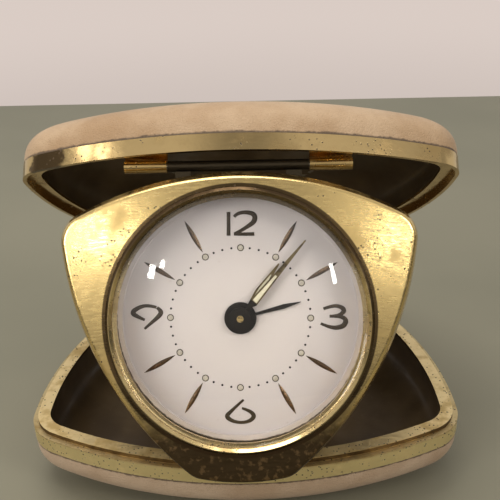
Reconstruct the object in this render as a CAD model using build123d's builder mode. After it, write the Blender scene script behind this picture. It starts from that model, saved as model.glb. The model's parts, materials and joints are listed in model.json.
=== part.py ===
"""Folding travel alarm clock.

Two leather-covered case halves are hinged together at the back. A shield-shaped brass
alarm clock hangs from the front rim of the raised lid and stands over the base's rim.
Millimetres. +Z is up, -Y faces the reader of the dial, and the origin is the centre of
the flat on which the base rests.
"""

import os
from math import atan2, cos, degrees, hypot, radians, sin, sqrt

from build123d import *

os.makedirs("parts", exist_ok=True)

# Case halves, seen from above: a rounded triangle, wide in front
CASE_WIDTH = 81.0
CASE_LENGTH = 77.0
CASE_FRONT_R = 79.5
CASE_SIDE_R = 67.0
CASE_CORNER_R = 8.45
CASE_REAR_R = 14.1
BAND_H = 3.0
DOME_H = 10.2
DOME_RUN = 25.0
DOME_POWER = 2.8
DOME_ANGLES = (0, 35, 65, 90)
LID_OPEN = 41.6

# Walls of a case half, from the leather inwards, and its brass rim
COVER_T = 0.9
PAN_T = 0.4
LINING_T = 0.4
SKIN_GAP = 0.1
RIM_T = 0.7
SHELF_W = 1.5
SHELF_T = 0.5
LIP_H = 0.9
LIP_INSET = 1.0
FLANGE_W = 3.3
FLANGE_T = 0.5
FLANGE_SINK = 1.1
OVERRUN = 2.0

# Rear hinge between the case halves
REAR_PIN_R = 0.5
REAR_PIN_FIT = 0.05
REAR_KNUCKLE_R = 1.2
REAR_PIN_DROP = 2.0
REAR_KNUCKLE_LENGTH = 4.0
REAR_KNUCKLE_GAP = 0.15
REAR_LEAF_T = 0.8
REAR_LEAF_GAP = 0.1
REAR_LEAF_START = 0.3
REAR_LEAF_END = 2.8

# Front hinge between the lid and the clock
CLOCK_FOLD = 74.4
FRONT_PIN_R = 0.45
FRONT_PIN_FIT = 0.05
FRONT_KNUCKLE_R = 1.05
FRONT_FLANGE_GAP = 0.05
FRONT_PIN_DROP = 0.8
FRONT_HINGE_SPAN = 39.6
FRONT_KNUCKLE_LENGTH = 7.4
FRONT_KNUCKLE_GAP = 0.15
FRONT_LEAF_T = 0.5
FRONT_LEAF_SET = 0.5
FRONT_FOOT_W = 4.0
FRONT_FOOT_T = 0.4
BAR_R = 0.95
BAR_ARM_T = 0.5
BAR_ARM_W = 2.7
BAR_ARM_PLACE = 9.65
BAR_ARM_DEPTH = 3.85
PIN_ABOVE_CLOCK = 1.35
PIN_BEHIND_CLOCK = 4.85

# Clock case, seen from the front: a shield, wide at the top and cut off at the bottom
CLOCK_WIDTH = 60.1
CLOCK_HEIGHT = 52.8
CLOCK_TOP_R = 57.5
CLOCK_SIDE_R = 59.0
CLOCK_CORNER_R = 5.2
CLOCK_TOE_R = 4.6
CLOCK_TOE_X = 6.3
CLOCK_END_R = 38.0
SHELL_T = 0.5
SHELL_FLARE = 0.8
SHELL_SIDE_H = 2.5
SHELL_EDGE_R = 0.9
FACE_TOP = 4.1
FACE_R = 255.0
DIAL_ABOVE_CENTRE = 1.5

# Bezel, crystal and dial
BEZEL_R = 22.2
BEZEL_WALL = 1.0
BEZEL_TOP = 3.9
BEZEL_BACK = -1.6
BEZEL_ROUND = 0.45
BEZEL_FLANGE_W = 0.8
BEZEL_FLANGE_T = 0.4
SEAT_W = 0.8
SEAT_T = 0.5
CRYSTAL_T = 0.8
CRYSTAL_RISE = 2.2
CRYSTAL_SINK = 0.7
DIAL_R = 20.6
DIAL_T = 0.4
DIAL_TOP = -2.2
DIAL_HOLE_R = 1.6
DIAL_FOOT_R = 0.5
DIAL_FOOT_PLACE = 18.0
DIAL_FOOT_ANGLES = (30, 150, 270)
RING_INNER_R = 20.1
RING_T = 0.8
CASE_FIT = 0.1

# Back of the clock
BACK_PLATE_T = 0.5
BACK_PLATE_SINK = 0.1
BACK_PLATE_INSET = 0.8
CAN_R = 22.9
CAN_T = 0.4
CAN_FLANGE_W = 0.6
CAN_BACK = -10.8
CAN_CROWN_R = 19.5
CAN_CROWN_BACK = -12.6
EAR_PLACE = 24.6
EAR_R = 1.8
EAR_ANGLES = (20, 160, 270)

# Screws
SCREW_R = 0.5
SCREW_FIT = 0.05
SCREW_HEAD_R = 0.9
SCREW_HEAD_H = 0.45
SCREW_SLOT_W = 0.25
SCREW_SLOT_DEPTH = 0.2

# Hands
HAND_T = 0.2
MINUTE_HAND_LENGTH = 17.3
HOUR_HAND_LENGTH = 11.4
ALARM_HAND_LENGTH = 10.7
HAND_HUB_R = 1.9
ALARM_HUB_R = 2.75
HAND_HUB_T = 0.35
MINUTE_HAND_ANGLE = 49.4
HOUR_HAND_ANGLE = 54.0
ALARM_HAND_ANGLE = 14.2
HAND_WIDTH = 1.4
HAND_ROOT_W = 0.6
HAND_EDGE_W = 0.25
LUME_SINK = 0.04

# Shares of a hand's length: its neck's end, its widest place, its filling's start and end
MINUTE_SHARES = (0.16, 0.2, 0.22, 0.55)
HOUR_SHARES = (0.2, 0.48, 0.26, 0.8)
HAND_TIP_W = 0.25
ALARM_HAND_WIDTH = 0.8
ALARM_HAND_ROOT_W = 0.3
ALARM_HAND_TIP_W = 0.1
ALARM_HEAD_SHARE = 0.72
MINUTE_HAND_BACK = -0.9
HOUR_HAND_BACK = -1.4
ALARM_HAND_BACK = -1.9
POST_R = 0.58
POST_TOP = -0.2

# Movement frame
PLATE_R = 21.2
PLATE_T = 0.8
FRONT_PLATE_FRONT = -4.2
REAR_PLATE_BACK = -11.2
PILLAR_R = 0.9
PILLAR_PLACE = 19.0
PILLAR_ANGLES = (60, 150, 262, 345)

# Running fits of the movement
RUN_FIT = 0.04
END_SHAKE = 0.1
ARBOR_R = 0.4
PIVOT_R = 0.3
MAIN_ARBOR_R = 0.6
SPRING_GAP = 0.3

# Pipes at the centre of the dial, from the inside out
CANNON_R = 0.7
HOUR_PIPE_R = 1.0
ALARM_PIPE_R = 1.3

# Wheels: tooth counts and modules
MAIN_TEETH = 72
CENTRE_PINION_TEETH = 12
MAIN_MODULE = 0.25
CENTRE_TEETH = 64
THIRD_PINION_TEETH = 8
CENTRE_MODULE = 0.2
THIRD_TEETH = 60
FOURTH_PINION_TEETH = 8
THIRD_MODULE = 0.18
FOURTH_TEETH = 48
ESCAPE_PINION_TEETH = 6
FOURTH_MODULE = 0.18
CANNON_TEETH = 12
MINUTE_TEETH = 36
CANNON_MODULE = 0.25
MINUTE_PINION_TEETH = 10
HOUR_TEETH = 40
ALARM_TEETH = 48
SETTER_TEETH = 12
ALARM_MODULE = 0.25
ALARM_MAIN_TEETH = 65
STAR_PINION_TEETH = 8
ALARM_MAIN_MODULE = 0.2
ESCAPE_TEETH = 15
ESCAPE_R = 3.2
ESCAPE_TOOTH = 0.8
ESCAPE_LEAN = 0.25
STAR_TEETH = 15
STAR_R = 3.0
STAR_TOOTH = 0.6
WHEEL_T = 0.4
PINION_OVERHANG = 0.15
TOOTH_TIP_SHARE = 0.5
TOOTH_ROOT_SHARE = 1.1
CROSSING_HUB_R = 1.9
CROSSING_RIM_W = 0.8
CROSSING_SPOKE_W = 0.7

# Levels of the wheels' rear faces, from the dial backwards
ALARM_LEVEL = -3.05
HOUR_LEVEL = -3.5
MINUTE_LEVEL = -4.05
CENTRE_LEVEL = -5.9
MAIN_LEVEL = -6.8
FOURTH_LEVEL = -7.1
THIRD_LEVEL = -8.6
ESCAPE_LEVEL = -9.6
BALANCE_LEVEL = -6.5

# Directions from each wheel to the next, from the dial's 3 o'clock anticlockwise
MAIN_ANGLE = 225
THIRD_ANGLE = 100
FOURTH_ANGLE = 0
ESCAPE_ANGLE = -45
PALLET_ANGLE = -60
BALANCE_ANGLE = 20
MINUTE_ANGLE = -60
SETTER_ANGLE = 160
ALARM_MAIN_ANGLE = -42
STAR_ANGLE = -150
HAMMER_ANGLE = -90

# Escapement
PALLET_DISTANCE = 4.0
PALLET_SPREAD = 66
PALLET_ARM = 2.6
PALLET_ARM_W = 0.4
PALLET_HUB_R = 0.7
LEVER_LENGTH = 3.7
BALANCE_DISTANCE = 5.0
BALANCE_R = 4.6
BALANCE_RIM_W = 0.6
BALANCE_T = 0.6
ROLLER_R = 0.8
HAIRSPRING_R = 0.9
HAIRSPRING_PITCH = 0.4
HAIRSPRING_HALF_TURNS = 8
HAIRSPRING_T = 0.12
HAIRSPRING_H = 0.3

# Mainsprings
MAINSPRING_R = 1.6
MAINSPRING_PITCH = 1.2
MAINSPRING_T = 0.35
TIME_SPRING_HALF_TURNS = 9
ALARM_SPRING_HALF_TURNS = 6
TIME_SPRING_H = 2.6
ALARM_SPRING_H = 1.7

# Alarm work
ALARM_MAIN_DISTANCE = 12.75
HAMMER_DISTANCE = 3.9
HAMMER_ARM = 8.0
HAMMER_ARM_W = 0.8
HAMMER_HEAD_R = 1.2
HAMMER_HUB_R = 0.8
HAMMER_AIM = 2

# Keys and knobs behind the can
KEY_GAP = 0.3
KEY_BOSS_R = 1.3
KEY_BOSS_H = 1.0
KEY_WING_LENGTH = 7.6
KEY_WING_T = 0.9
KEY_WING_H = 1.6
KEY_WING_ANGLE = 35
KNOB_H = 1.5
HAND_KNOB_R = 2.4
ALARM_KNOB_R = 2.0
KNOB_RIDGES = 18
KNOB_RIDGE_SHARE = 0.9

# Alarm stop and regulator
STOP_PLACE = (-1.5, 14.0)
STOP_TRAVEL = 3.0
STOP_NECK = 1.0
STOP_THUMB_LENGTH = 3.2
STOP_THUMB_W = 2.2
STOP_THUMB_H = 0.9
STOP_PLATE_T = 0.3
STOP_FIT = 0.08
REGULATOR_BOSS_R = 0.7
REGULATOR_BOSS_H = 0.5
REGULATOR_RING_R = 1.4
REGULATOR_T = 0.25
REGULATOR_ARM = 3.4
REGULATOR_ARM_W = 0.6
REGULATOR_SWING = 20
REGULATOR_END = 8
REGULATOR_TIP = 0.4

# Worked out from the sizes above
PARTING = BAND_H + DOME_H
PAN_INSET = COVER_T + SKIN_GAP
LINING_INSET = PAN_INSET + PAN_T + SKIN_GAP
REAR_AXIS_Y = CASE_LENGTH / 2 + REAR_KNUCKLE_R
FLANGE_INNER_R = CASE_FRONT_R - FLANGE_W
FLANGE_AT_HINGE = CASE_FRONT_R - sqrt(FLANGE_INNER_R**2 - (FRONT_HINGE_SPAN / 2) ** 2)
FRONT_PIN_INSET = FLANGE_AT_HINGE + FRONT_FLANGE_GAP - (FRONT_LEAF_SET - FRONT_LEAF_T / 2)
FRONT_AXIS_Y = FRONT_PIN_INSET - CASE_LENGTH / 2
CLOCK_LEAN = LID_OPEN + CLOCK_FOLD
SHELL_BACK = 0.0
BACK_PLATE_BACK = SHELL_BACK + BACK_PLATE_SINK
CAN_INNER_R = CAN_R - CAN_T
CAN_FLOOR = CAN_CROWN_BACK + CAN_T
CRYSTAL_R = BEZEL_R - BEZEL_WALL - CASE_FIT
CRYSTAL_EDGE = BEZEL_TOP - CRYSTAL_SINK
SEAT_TOP = CRYSTAL_EDGE - CRYSTAL_T
DIAL_BACK = DIAL_TOP - DIAL_T
FRONT_PLATE_BACK = FRONT_PLATE_FRONT - PLATE_T
REAR_PLATE_FRONT = REAR_PLATE_BACK + PLATE_T


def heading(start, stop):
    """The direction from one point to another, in degrees."""
    return degrees(atan2(stop[1] - start[1], stop[0] - start[0]))


def step(start, distance, angle):
    """The point at a distance and direction from another."""
    return (start[0] + distance * cos(radians(angle)), start[1] + distance * sin(radians(angle)))


def far_centre(first, first_reach, second, second_reach):
    """The centre, left of the line between two points, at a reach from each of them."""
    gap = hypot(second[0] - first[0], second[1] - first[1])
    along = (first_reach**2 - second_reach**2 + gap**2) / (2 * gap)
    across = sqrt(first_reach**2 - along**2)
    foot = step(first, along, heading(first, second))
    return step(foot, across, heading(first, second) + 90)


def case_arcs():
    """Centres and radii of the right half of a case half's outline, from front to back."""
    front = (0, CASE_FRONT_R - CASE_LENGTH / 2)
    corner_x = CASE_WIDTH / 2 - CASE_CORNER_R
    reach = CASE_FRONT_R - CASE_CORNER_R
    corner = (corner_x, front[1] - sqrt(reach**2 - corner_x**2))
    rear = (0, CASE_LENGTH / 2 - CASE_REAR_R)
    side = far_centre(corner, CASE_SIDE_R - CASE_CORNER_R, rear, CASE_SIDE_R - CASE_REAR_R)
    return ((front, CASE_FRONT_R), (corner, CASE_CORNER_R), (side, CASE_SIDE_R), (rear, CASE_REAR_R))


def clock_arcs():
    """Centres and radii of the right half of the clock's outline, from bottom to top."""
    end = (0, CLOCK_END_R - CLOCK_HEIGHT / 2)
    end_reach = CLOCK_END_R - CLOCK_TOE_R
    toe = (CLOCK_TOE_X, end[1] - sqrt(end_reach**2 - CLOCK_TOE_X**2))
    top = (0, CLOCK_HEIGHT / 2 - CLOCK_TOP_R)
    corner_x = CLOCK_WIDTH / 2 - CLOCK_CORNER_R
    top_reach = CLOCK_TOP_R - CLOCK_CORNER_R
    corner = (corner_x, top[1] + sqrt(top_reach**2 - corner_x**2))
    side = far_centre(toe, CLOCK_SIDE_R - CLOCK_TOE_R, corner, CLOCK_SIDE_R - CLOCK_CORNER_R)
    return (
        (end, CLOCK_END_R),
        (toe, CLOCK_TOE_R),
        (side, CLOCK_SIDE_R),
        (corner, CLOCK_CORNER_R),
        (top, CLOCK_TOP_R),
    )


def outline(plane, arcs, inset, share=1):
    """An outline of arcs on a plane, drawn in by inset and then scaled to a share of itself."""
    bounds = [-90]
    for (centre, radius), (next_centre, next_radius) in zip(arcs, arcs[1:]):
        if radius > next_radius:
            bounds.append(heading(centre, next_centre))
        else:
            bounds.append(heading(next_centre, centre))
    bounds.append(90)
    with BuildSketch(plane) as flat:
        with BuildLine():
            for (centre, radius), start, stop in zip(arcs, bounds, bounds[1:]):
                place = (centre[0] * share, centre[1] * share)
                CenterArc(place, (radius - inset) * share, start, stop - start)
            mirror(about=Plane.YZ)
        make_face()
    return flat.sketch


def slab(plane, arcs, inset, low, high, mode=Mode.ADD):
    """An outline made solid between two heights."""
    extrude(outline(plane.offset(low), arcs, inset), amount=high - low, mode=mode)


def frame(plane, arcs, outer, inner, low, high, mode=Mode.ADD):
    """A flat ring between two insets of an outline."""
    with BuildSketch(plane.offset(low)) as flat:
        add(outline(Plane.XY, arcs, outer))
        add(outline(Plane.XY, arcs, inner), mode=Mode.SUBTRACT)
    extrude(flat.sketch, amount=high - low, mode=mode)


def domed(plane, inset, low, mode=Mode.ADD):
    """A case half made solid: straight from low to the band's top, domed above it."""
    slab(plane, CASE_ARCS, inset, low, BAND_H, mode)
    sections = []
    for angle in DOME_ANGLES:
        shrink = 1 - cos(radians(angle)) ** (2 / DOME_POWER)
        share = 1 - shrink * DOME_RUN / (CASE_WIDTH / 2)
        height = BAND_H + (DOME_H - inset) * sin(radians(angle)) ** (2 / DOME_POWER)
        sections.append(outline(plane.offset(height), CASE_ARCS, inset, share))
    loft(sections=sections, mode=mode)


def disc(plane, radius, low, high, mode=Mode.ADD):
    """A round solid between two heights over a plane."""
    with BuildSketch(plane.offset(low)) as flat:
        Circle(radius)
    extrude(flat.sketch, amount=high - low, mode=mode)


def block(plane, length, width, low, high, mode=Mode.ADD):
    """A box over the plane's origin, between two heights."""
    with BuildSketch(plane.offset(low)) as flat:
        Rectangle(length, width)
    extrude(flat.sketch, amount=high - low, mode=mode)


def turned(section, corners, mode=Mode.ADD):
    """A solid turned about the section's own upright from corners of radius and height."""
    with BuildSketch(section) as flat:
        with BuildLine():
            Polyline(*corners, close=True)
        make_face()
    revolve(flat.sketch, axis=Axis(section.origin, section.y_dir), mode=mode)


def toothed(plane, tip, root, teeth, low, high, phase=0, lean=0.5):
    """A disc with pointed teeth; lean is where the root lies between one tip and the next."""
    corners = []
    for tooth in range(teeth):
        corners.append(step((0, 0), tip, phase + tooth * 360 / teeth))
        corners.append(step((0, 0), root, phase + (tooth + lean) * 360 / teeth))
    with BuildSketch(plane.offset(low)) as flat:
        with BuildLine():
            Polyline(*corners, close=True)
        make_face()
    extrude(flat.sketch, amount=high - low)


def gear(plane, teeth, module, low, high, phase=0):
    """A wheel or pinion of a tooth count and module."""
    pitch_r = teeth * module / 2
    tip = pitch_r + TOOTH_TIP_SHARE * module
    root = pitch_r - TOOTH_ROOT_SHARE * module
    toothed(plane, tip, root, teeth, low, high, phase)


def pinion(plane, teeth, module, level, phase):
    """A pinion a little longer than the thickness of the wheel on that level."""
    gear(plane, teeth, module, level - PINION_OVERHANG, level + WHEEL_T + PINION_OVERHANG, phase)


def crossed(plane, teeth, module, level):
    """Windows cut through a wheel, which leave its hub, its rim and four spokes."""
    window_r = teeth * module / 2 - TOOTH_ROOT_SHARE * module - CROSSING_RIM_W
    with BuildSketch(plane.offset(level)) as flat:
        Circle(window_r)
        Circle(CROSSING_HUB_R, mode=Mode.SUBTRACT)
        Rectangle(2 * window_r, CROSSING_SPOKE_W, mode=Mode.SUBTRACT)
        Rectangle(CROSSING_SPOKE_W, 2 * window_r, mode=Mode.SUBTRACT)
    extrude(flat.sketch, amount=WHEEL_T, mode=Mode.SUBTRACT)


def meshed(phase, teeth, next_teeth, angle):
    """The phase at which the next wheel's teeth fall between these, angle being the way to it."""
    turns = (phase - angle) * teeth / 360
    return angle + 180 - (turns + 0.5) * 360 / next_teeth


def distance(teeth, next_teeth, module):
    """How far apart two wheels in mesh stand."""
    return (teeth + next_teeth) * module / 2


def arbor(plane):
    """An arbor with its two pivots, between the movement's plates."""
    disc(plane, ARBOR_R, REAR_PLATE_FRONT + END_SHAKE, FRONT_PLATE_BACK - END_SHAKE)
    disc(plane, PIVOT_R, REAR_PLATE_BACK + END_SHAKE, FRONT_PLATE_FRONT - END_SHAKE)


def coil(plane, start_r, pitch, half_turns, thickness, low, high):
    """A flat spiral spring of half circles that grow by half the pitch each."""
    with BuildSketch(plane.offset(low)) as flat:
        with BuildLine() as path:
            for turn in range(half_turns):
                side = pitch / 4 if turn % 2 else -pitch / 4
                CenterArc((side, 0), start_r + turn * pitch / 2, 180 * (turn % 2), 180)
        trace(path.line, line_width=thickness)
    extrude(flat.sketch, amount=high - low)


def screw(plane, length):
    """A slotted screw: its head stands up from the plane and its shank runs down."""
    disc(plane, SCREW_HEAD_R, 0, SCREW_HEAD_H)
    disc(plane, SCREW_R, -length, 0)
    slot_low = SCREW_HEAD_H - SCREW_SLOT_DEPTH
    block(plane, 2 * SCREW_HEAD_R + OVERRUN, SCREW_SLOT_W, slot_low, SCREW_HEAD_H, Mode.SUBTRACT)


def write(piece, name):
    """Name a finished piece and write it."""
    piece.part.label = name
    export_step(piece.part, f"parts/{name}.step")


# Planes of the case halves: x across, y to the back, z from the parting plane into the dome
BASE = Plane(origin=(0, 0, PARTING), x_dir=(-1, 0, 0), z_dir=(0, 0, -1))
LID_SIN = sin(radians(LID_OPEN))
LID_COS = cos(radians(LID_OPEN))
LID = Plane(
    origin=(
        0,
        REAR_AXIS_Y * (1 - LID_COS) + REAR_PIN_DROP * LID_SIN,
        PARTING - REAR_PIN_DROP + REAR_AXIS_Y * LID_SIN + REAR_PIN_DROP * LID_COS,
    ),
    x_dir=(1, 0, 0),
    z_dir=(0, LID_SIN, LID_COS),
)

# Plane of the clock: x to the right, y up along the dial, z out of it, from the shell's open back
LEAN_SIN = sin(radians(CLOCK_LEAN))
LEAN_COS = cos(radians(CLOCK_LEAN))
FRONT_AXIS = LID.from_local_coords(Vector(0, FRONT_AXIS_Y, -FRONT_PIN_DROP))
PIN_IN_CLOCK_Y = CLOCK_HEIGHT / 2 + PIN_ABOVE_CLOCK
CLOCK = Plane(
    origin=(
        0,
        FRONT_AXIS.Y + PIN_IN_CLOCK_Y * LEAN_COS - PIN_BEHIND_CLOCK * LEAN_SIN,
        FRONT_AXIS.Z - PIN_IN_CLOCK_Y * LEAN_SIN - PIN_BEHIND_CLOCK * LEAN_COS,
    ),
    x_dir=(1, 0, 0),
    z_dir=(0, -LEAN_SIN, -LEAN_COS),
)
CASE_ARCS = case_arcs()
CLOCK_ARCS = clock_arcs()


def across(plane, y, z):
    """The plane square to X at a place of a case half: its x runs back and its y into the dome."""
    return Plane(origin=plane.from_local_coords(Vector(0, y, z)), x_dir=plane.y_dir, z_dir=plane.x_dir)


def over(spot, turn=0):
    """The clock's plane, moved to a spot of the dial and turned about it."""
    place = CLOCK.from_local_coords(Vector(spot[0], spot[1], 0))
    right = CLOCK.x_dir * cos(radians(turn)) + CLOCK.y_dir * sin(radians(turn))
    return Plane(origin=place, x_dir=right, z_dir=CLOCK.z_dir)


def behind(spot, level):
    """A plane at a spot and level of the clock that faces out of its back."""
    place = CLOCK.from_local_coords(Vector(spot[0], spot[1], level))
    return Plane(origin=place, x_dir=CLOCK.x_dir, z_dir=-CLOCK.z_dir)


def lying(plane):
    """A plane turned so that a sphere's poles lie at its sides, away from the face cut from it."""
    return Plane(origin=plane.origin, x_dir=plane.x_dir, z_dir=plane.y_dir)


def beside(spot):
    """The section through the clock at a spot: its x is a radius, its y runs out of the dial."""
    place = CLOCK.from_local_coords(Vector(spot[0], spot[1], 0))
    return Plane(origin=place, x_dir=CLOCK.x_dir, z_dir=-CLOCK.y_dir)


# Spots of the movement on the clock's plane
CENTRE = (0, DIAL_ABOVE_CENTRE)
MAIN = step(CENTRE, distance(MAIN_TEETH, CENTRE_PINION_TEETH, MAIN_MODULE), MAIN_ANGLE)
THIRD = step(CENTRE, distance(CENTRE_TEETH, THIRD_PINION_TEETH, CENTRE_MODULE), THIRD_ANGLE)
FOURTH = step(THIRD, distance(THIRD_TEETH, FOURTH_PINION_TEETH, THIRD_MODULE), FOURTH_ANGLE)
ESCAPE = step(FOURTH, distance(FOURTH_TEETH, ESCAPE_PINION_TEETH, FOURTH_MODULE), ESCAPE_ANGLE)
PALLET = step(ESCAPE, PALLET_DISTANCE, PALLET_ANGLE)
BALANCE = step(PALLET, BALANCE_DISTANCE, BALANCE_ANGLE)
MINUTE_DISTANCE = distance(CANNON_TEETH, MINUTE_TEETH, CANNON_MODULE)
HOUR_MODULE = 2 * MINUTE_DISTANCE / (MINUTE_PINION_TEETH + HOUR_TEETH)
MINUTE = step(CENTRE, MINUTE_DISTANCE, MINUTE_ANGLE)
SETTER = step(CENTRE, distance(ALARM_TEETH, SETTER_TEETH, ALARM_MODULE), SETTER_ANGLE)
ALARM_MAIN = step(CENTRE, ALARM_MAIN_DISTANCE, ALARM_MAIN_ANGLE)
STAR_DISTANCE = distance(ALARM_MAIN_TEETH, STAR_PINION_TEETH, ALARM_MAIN_MODULE)
STAR = step(ALARM_MAIN, STAR_DISTANCE, STAR_ANGLE)
HAMMER = step(STAR, HAMMER_DISTANCE, HAMMER_ANGLE)
PILLARS = [step(CENTRE, PILLAR_PLACE, angle) for angle in PILLAR_ANGLES]
PIVOTS = (THIRD, FOURTH, ESCAPE, PALLET, BALANCE, STAR, HAMMER)

# Case halves: leather cover, pressed pan and lining, one inside the other
PAN_EDGES = {"base": SHELF_T + SKIN_GAP, "lid": FLANGE_SINK + FLANGE_T + SKIN_GAP}
for half, plane in (("base", BASE), ("lid", LID)):
    with BuildPart() as cover:
        domed(plane, 0, BAND_H - SKIN_GAP)
        domed(plane, COVER_T, BAND_H - OVERRUN, Mode.SUBTRACT)
        slab(plane, CASE_ARCS, -OVERRUN, BAND_H - OVERRUN, BAND_H, Mode.SUBTRACT)
    write(cover, f"{half}_cover")

    with BuildPart() as pan:
        domed(plane, PAN_INSET, PAN_EDGES[half])
        domed(plane, PAN_INSET + PAN_T, PAN_EDGES[half] - OVERRUN, Mode.SUBTRACT)
    write(pan, f"{half}_pan")

    with BuildPart() as lining:
        domed(plane, LINING_INSET, PAN_EDGES[half])
        domed(plane, LINING_INSET + LINING_T, PAN_EDGES[half] - OVERRUN, Mode.SUBTRACT)
    write(lining, f"{half}_lining")

# Brass rims: the base's has a raised lip with a flange, the lid's a flange above it
with BuildPart() as base_rim:
    frame(BASE, CASE_ARCS, 0, RIM_T, 0, BAND_H)
    frame(BASE, CASE_ARCS, 0, SHELF_W, 0, SHELF_T)
    frame(BASE, CASE_ARCS, LIP_INSET, SHELF_W, -LIP_H, SHELF_T)
    frame(BASE, CASE_ARCS, LIP_INSET, FLANGE_W, -LIP_H, FLANGE_T - LIP_H)
write(base_rim, "base_rim")

with BuildPart() as lid_rim:
    frame(LID, CASE_ARCS, 0, RIM_T, 0, BAND_H)
    frame(LID, CASE_ARCS, 0, FLANGE_W, FLANGE_SINK, FLANGE_SINK + FLANGE_T)
write(lid_rim, "lid_rim")

# Rear hinge: one knuckle on the base between two on the lid's leaf, and their pin
REAR_STEP = REAR_KNUCKLE_LENGTH + REAR_KNUCKLE_GAP
LEAF_BACK = REAR_AXIS_Y - CASE_LENGTH / 2 - REAR_LEAF_GAP - REAR_LEAF_T
REAR_HALF_SPAN = REAR_STEP + REAR_KNUCKLE_LENGTH / 2


def rear_barrel(plane, z, x):
    """One knuckle of the rear hinge with its leg up to the leaf."""
    section = across(plane, REAR_AXIS_Y, z).offset(x - REAR_KNUCKLE_LENGTH / 2)
    with BuildSketch(section) as flat:
        Circle(REAR_KNUCKLE_R)
        with BuildLine():
            Polyline(
                (-REAR_KNUCKLE_R - REAR_LEAF_T, 0),
                (-LEAF_BACK, 0),
                (-LEAF_BACK, REAR_LEAF_END - z),
                (-REAR_KNUCKLE_R - REAR_LEAF_T, REAR_LEAF_END - z),
                close=True,
            )
        make_face()
    extrude(flat.sketch, amount=REAR_KNUCKLE_LENGTH)


with BuildPart() as base_knuckle:
    rear_barrel(BASE, REAR_PIN_DROP, 0)
    leaf = BASE.offset(REAR_LEAF_START)
    with BuildSketch(leaf) as flat:
        with Locations((0, REAR_AXIS_Y - LEAF_BACK - REAR_LEAF_T)):
            Rectangle(REAR_KNUCKLE_LENGTH, 2 * REAR_LEAF_T)
    extrude(flat.sketch, amount=REAR_LEAF_END - REAR_LEAF_START)
    slab(BASE, CASE_ARCS, -REAR_LEAF_GAP, -OVERRUN, 2 * BAND_H, Mode.SUBTRACT)
    disc(across(BASE, REAR_AXIS_Y, REAR_PIN_DROP), REAR_PIN_R + REAR_PIN_FIT,
         -REAR_KNUCKLE_LENGTH, REAR_KNUCKLE_LENGTH, Mode.SUBTRACT)
write(base_knuckle, "base_knuckle")

with BuildPart() as lid_knuckles:
    for side in (-1, 1):
        rear_barrel(LID, -REAR_PIN_DROP, side * REAR_STEP)
    with BuildSketch(LID.offset(REAR_LEAF_START)) as flat:
        with Locations((0, REAR_AXIS_Y - LEAF_BACK - REAR_LEAF_T)):
            Rectangle(2 * REAR_HALF_SPAN, 2 * REAR_LEAF_T)
    extrude(flat.sketch, amount=REAR_LEAF_END - REAR_LEAF_START)
    slab(LID, CASE_ARCS, -REAR_LEAF_GAP, -REAR_PIN_DROP - OVERRUN, 2 * BAND_H, Mode.SUBTRACT)
    disc(across(LID, REAR_AXIS_Y, -REAR_PIN_DROP), REAR_PIN_R + REAR_PIN_FIT,
         -2 * REAR_HALF_SPAN, 2 * REAR_HALF_SPAN, Mode.SUBTRACT)
write(lid_knuckles, "lid_knuckles")

with BuildPart() as rear_hinge_pin:
    disc(across(BASE, REAR_AXIS_Y, REAR_PIN_DROP), REAR_PIN_R, -REAR_HALF_SPAN, REAR_HALF_SPAN)
write(rear_hinge_pin, "rear_hinge_pin")

# Front hinge: two knuckles under the lid's flange, a pin, and the clock's bar between them
FRONT_SECTION = across(LID, FRONT_AXIS_Y, -FRONT_PIN_DROP)
KNUCKLE_INNER = FRONT_HINGE_SPAN / 2 - FRONT_KNUCKLE_LENGTH
BAR_HALF = KNUCKLE_INNER - FRONT_KNUCKLE_GAP
FLANGE_TOP = FLANGE_SINK + FLANGE_T
LEAF_H = FRONT_PIN_DROP + FLANGE_TOP + FRONT_FOOT_T
LEAF_REAR = FRONT_LEAF_SET + FRONT_LEAF_T / 2

with BuildPart() as front_knuckles:
    for start in (KNUCKLE_INNER, -FRONT_HINGE_SPAN / 2):
        with BuildSketch(FRONT_SECTION.offset(start)) as flat:
            Circle(FRONT_KNUCKLE_R)
            with Locations((FRONT_LEAF_SET, LEAF_H / 2)):
                Rectangle(FRONT_LEAF_T, LEAF_H)
            with Locations((LEAF_REAR - FRONT_FOOT_W / 2, LEAF_H - FRONT_FOOT_T / 2)):
                Rectangle(FRONT_FOOT_W, FRONT_FOOT_T)
            Circle(FRONT_PIN_R + FRONT_PIN_FIT, mode=Mode.SUBTRACT)
        extrude(flat.sketch, amount=FRONT_KNUCKLE_LENGTH)
    skins = LINING_INSET + LINING_T + SKIN_GAP
    frame(LID, CASE_ARCS, -OVERRUN, skins, FLANGE_TOP, FLANGE_TOP + FRONT_FOOT_T, Mode.SUBTRACT)
write(front_knuckles, "front_knuckles")

with BuildPart() as front_hinge_pin:
    disc(FRONT_SECTION, FRONT_PIN_R, -FRONT_HINGE_SPAN / 2, FRONT_HINGE_SPAN / 2)
write(front_hinge_pin, "front_hinge_pin")

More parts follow.
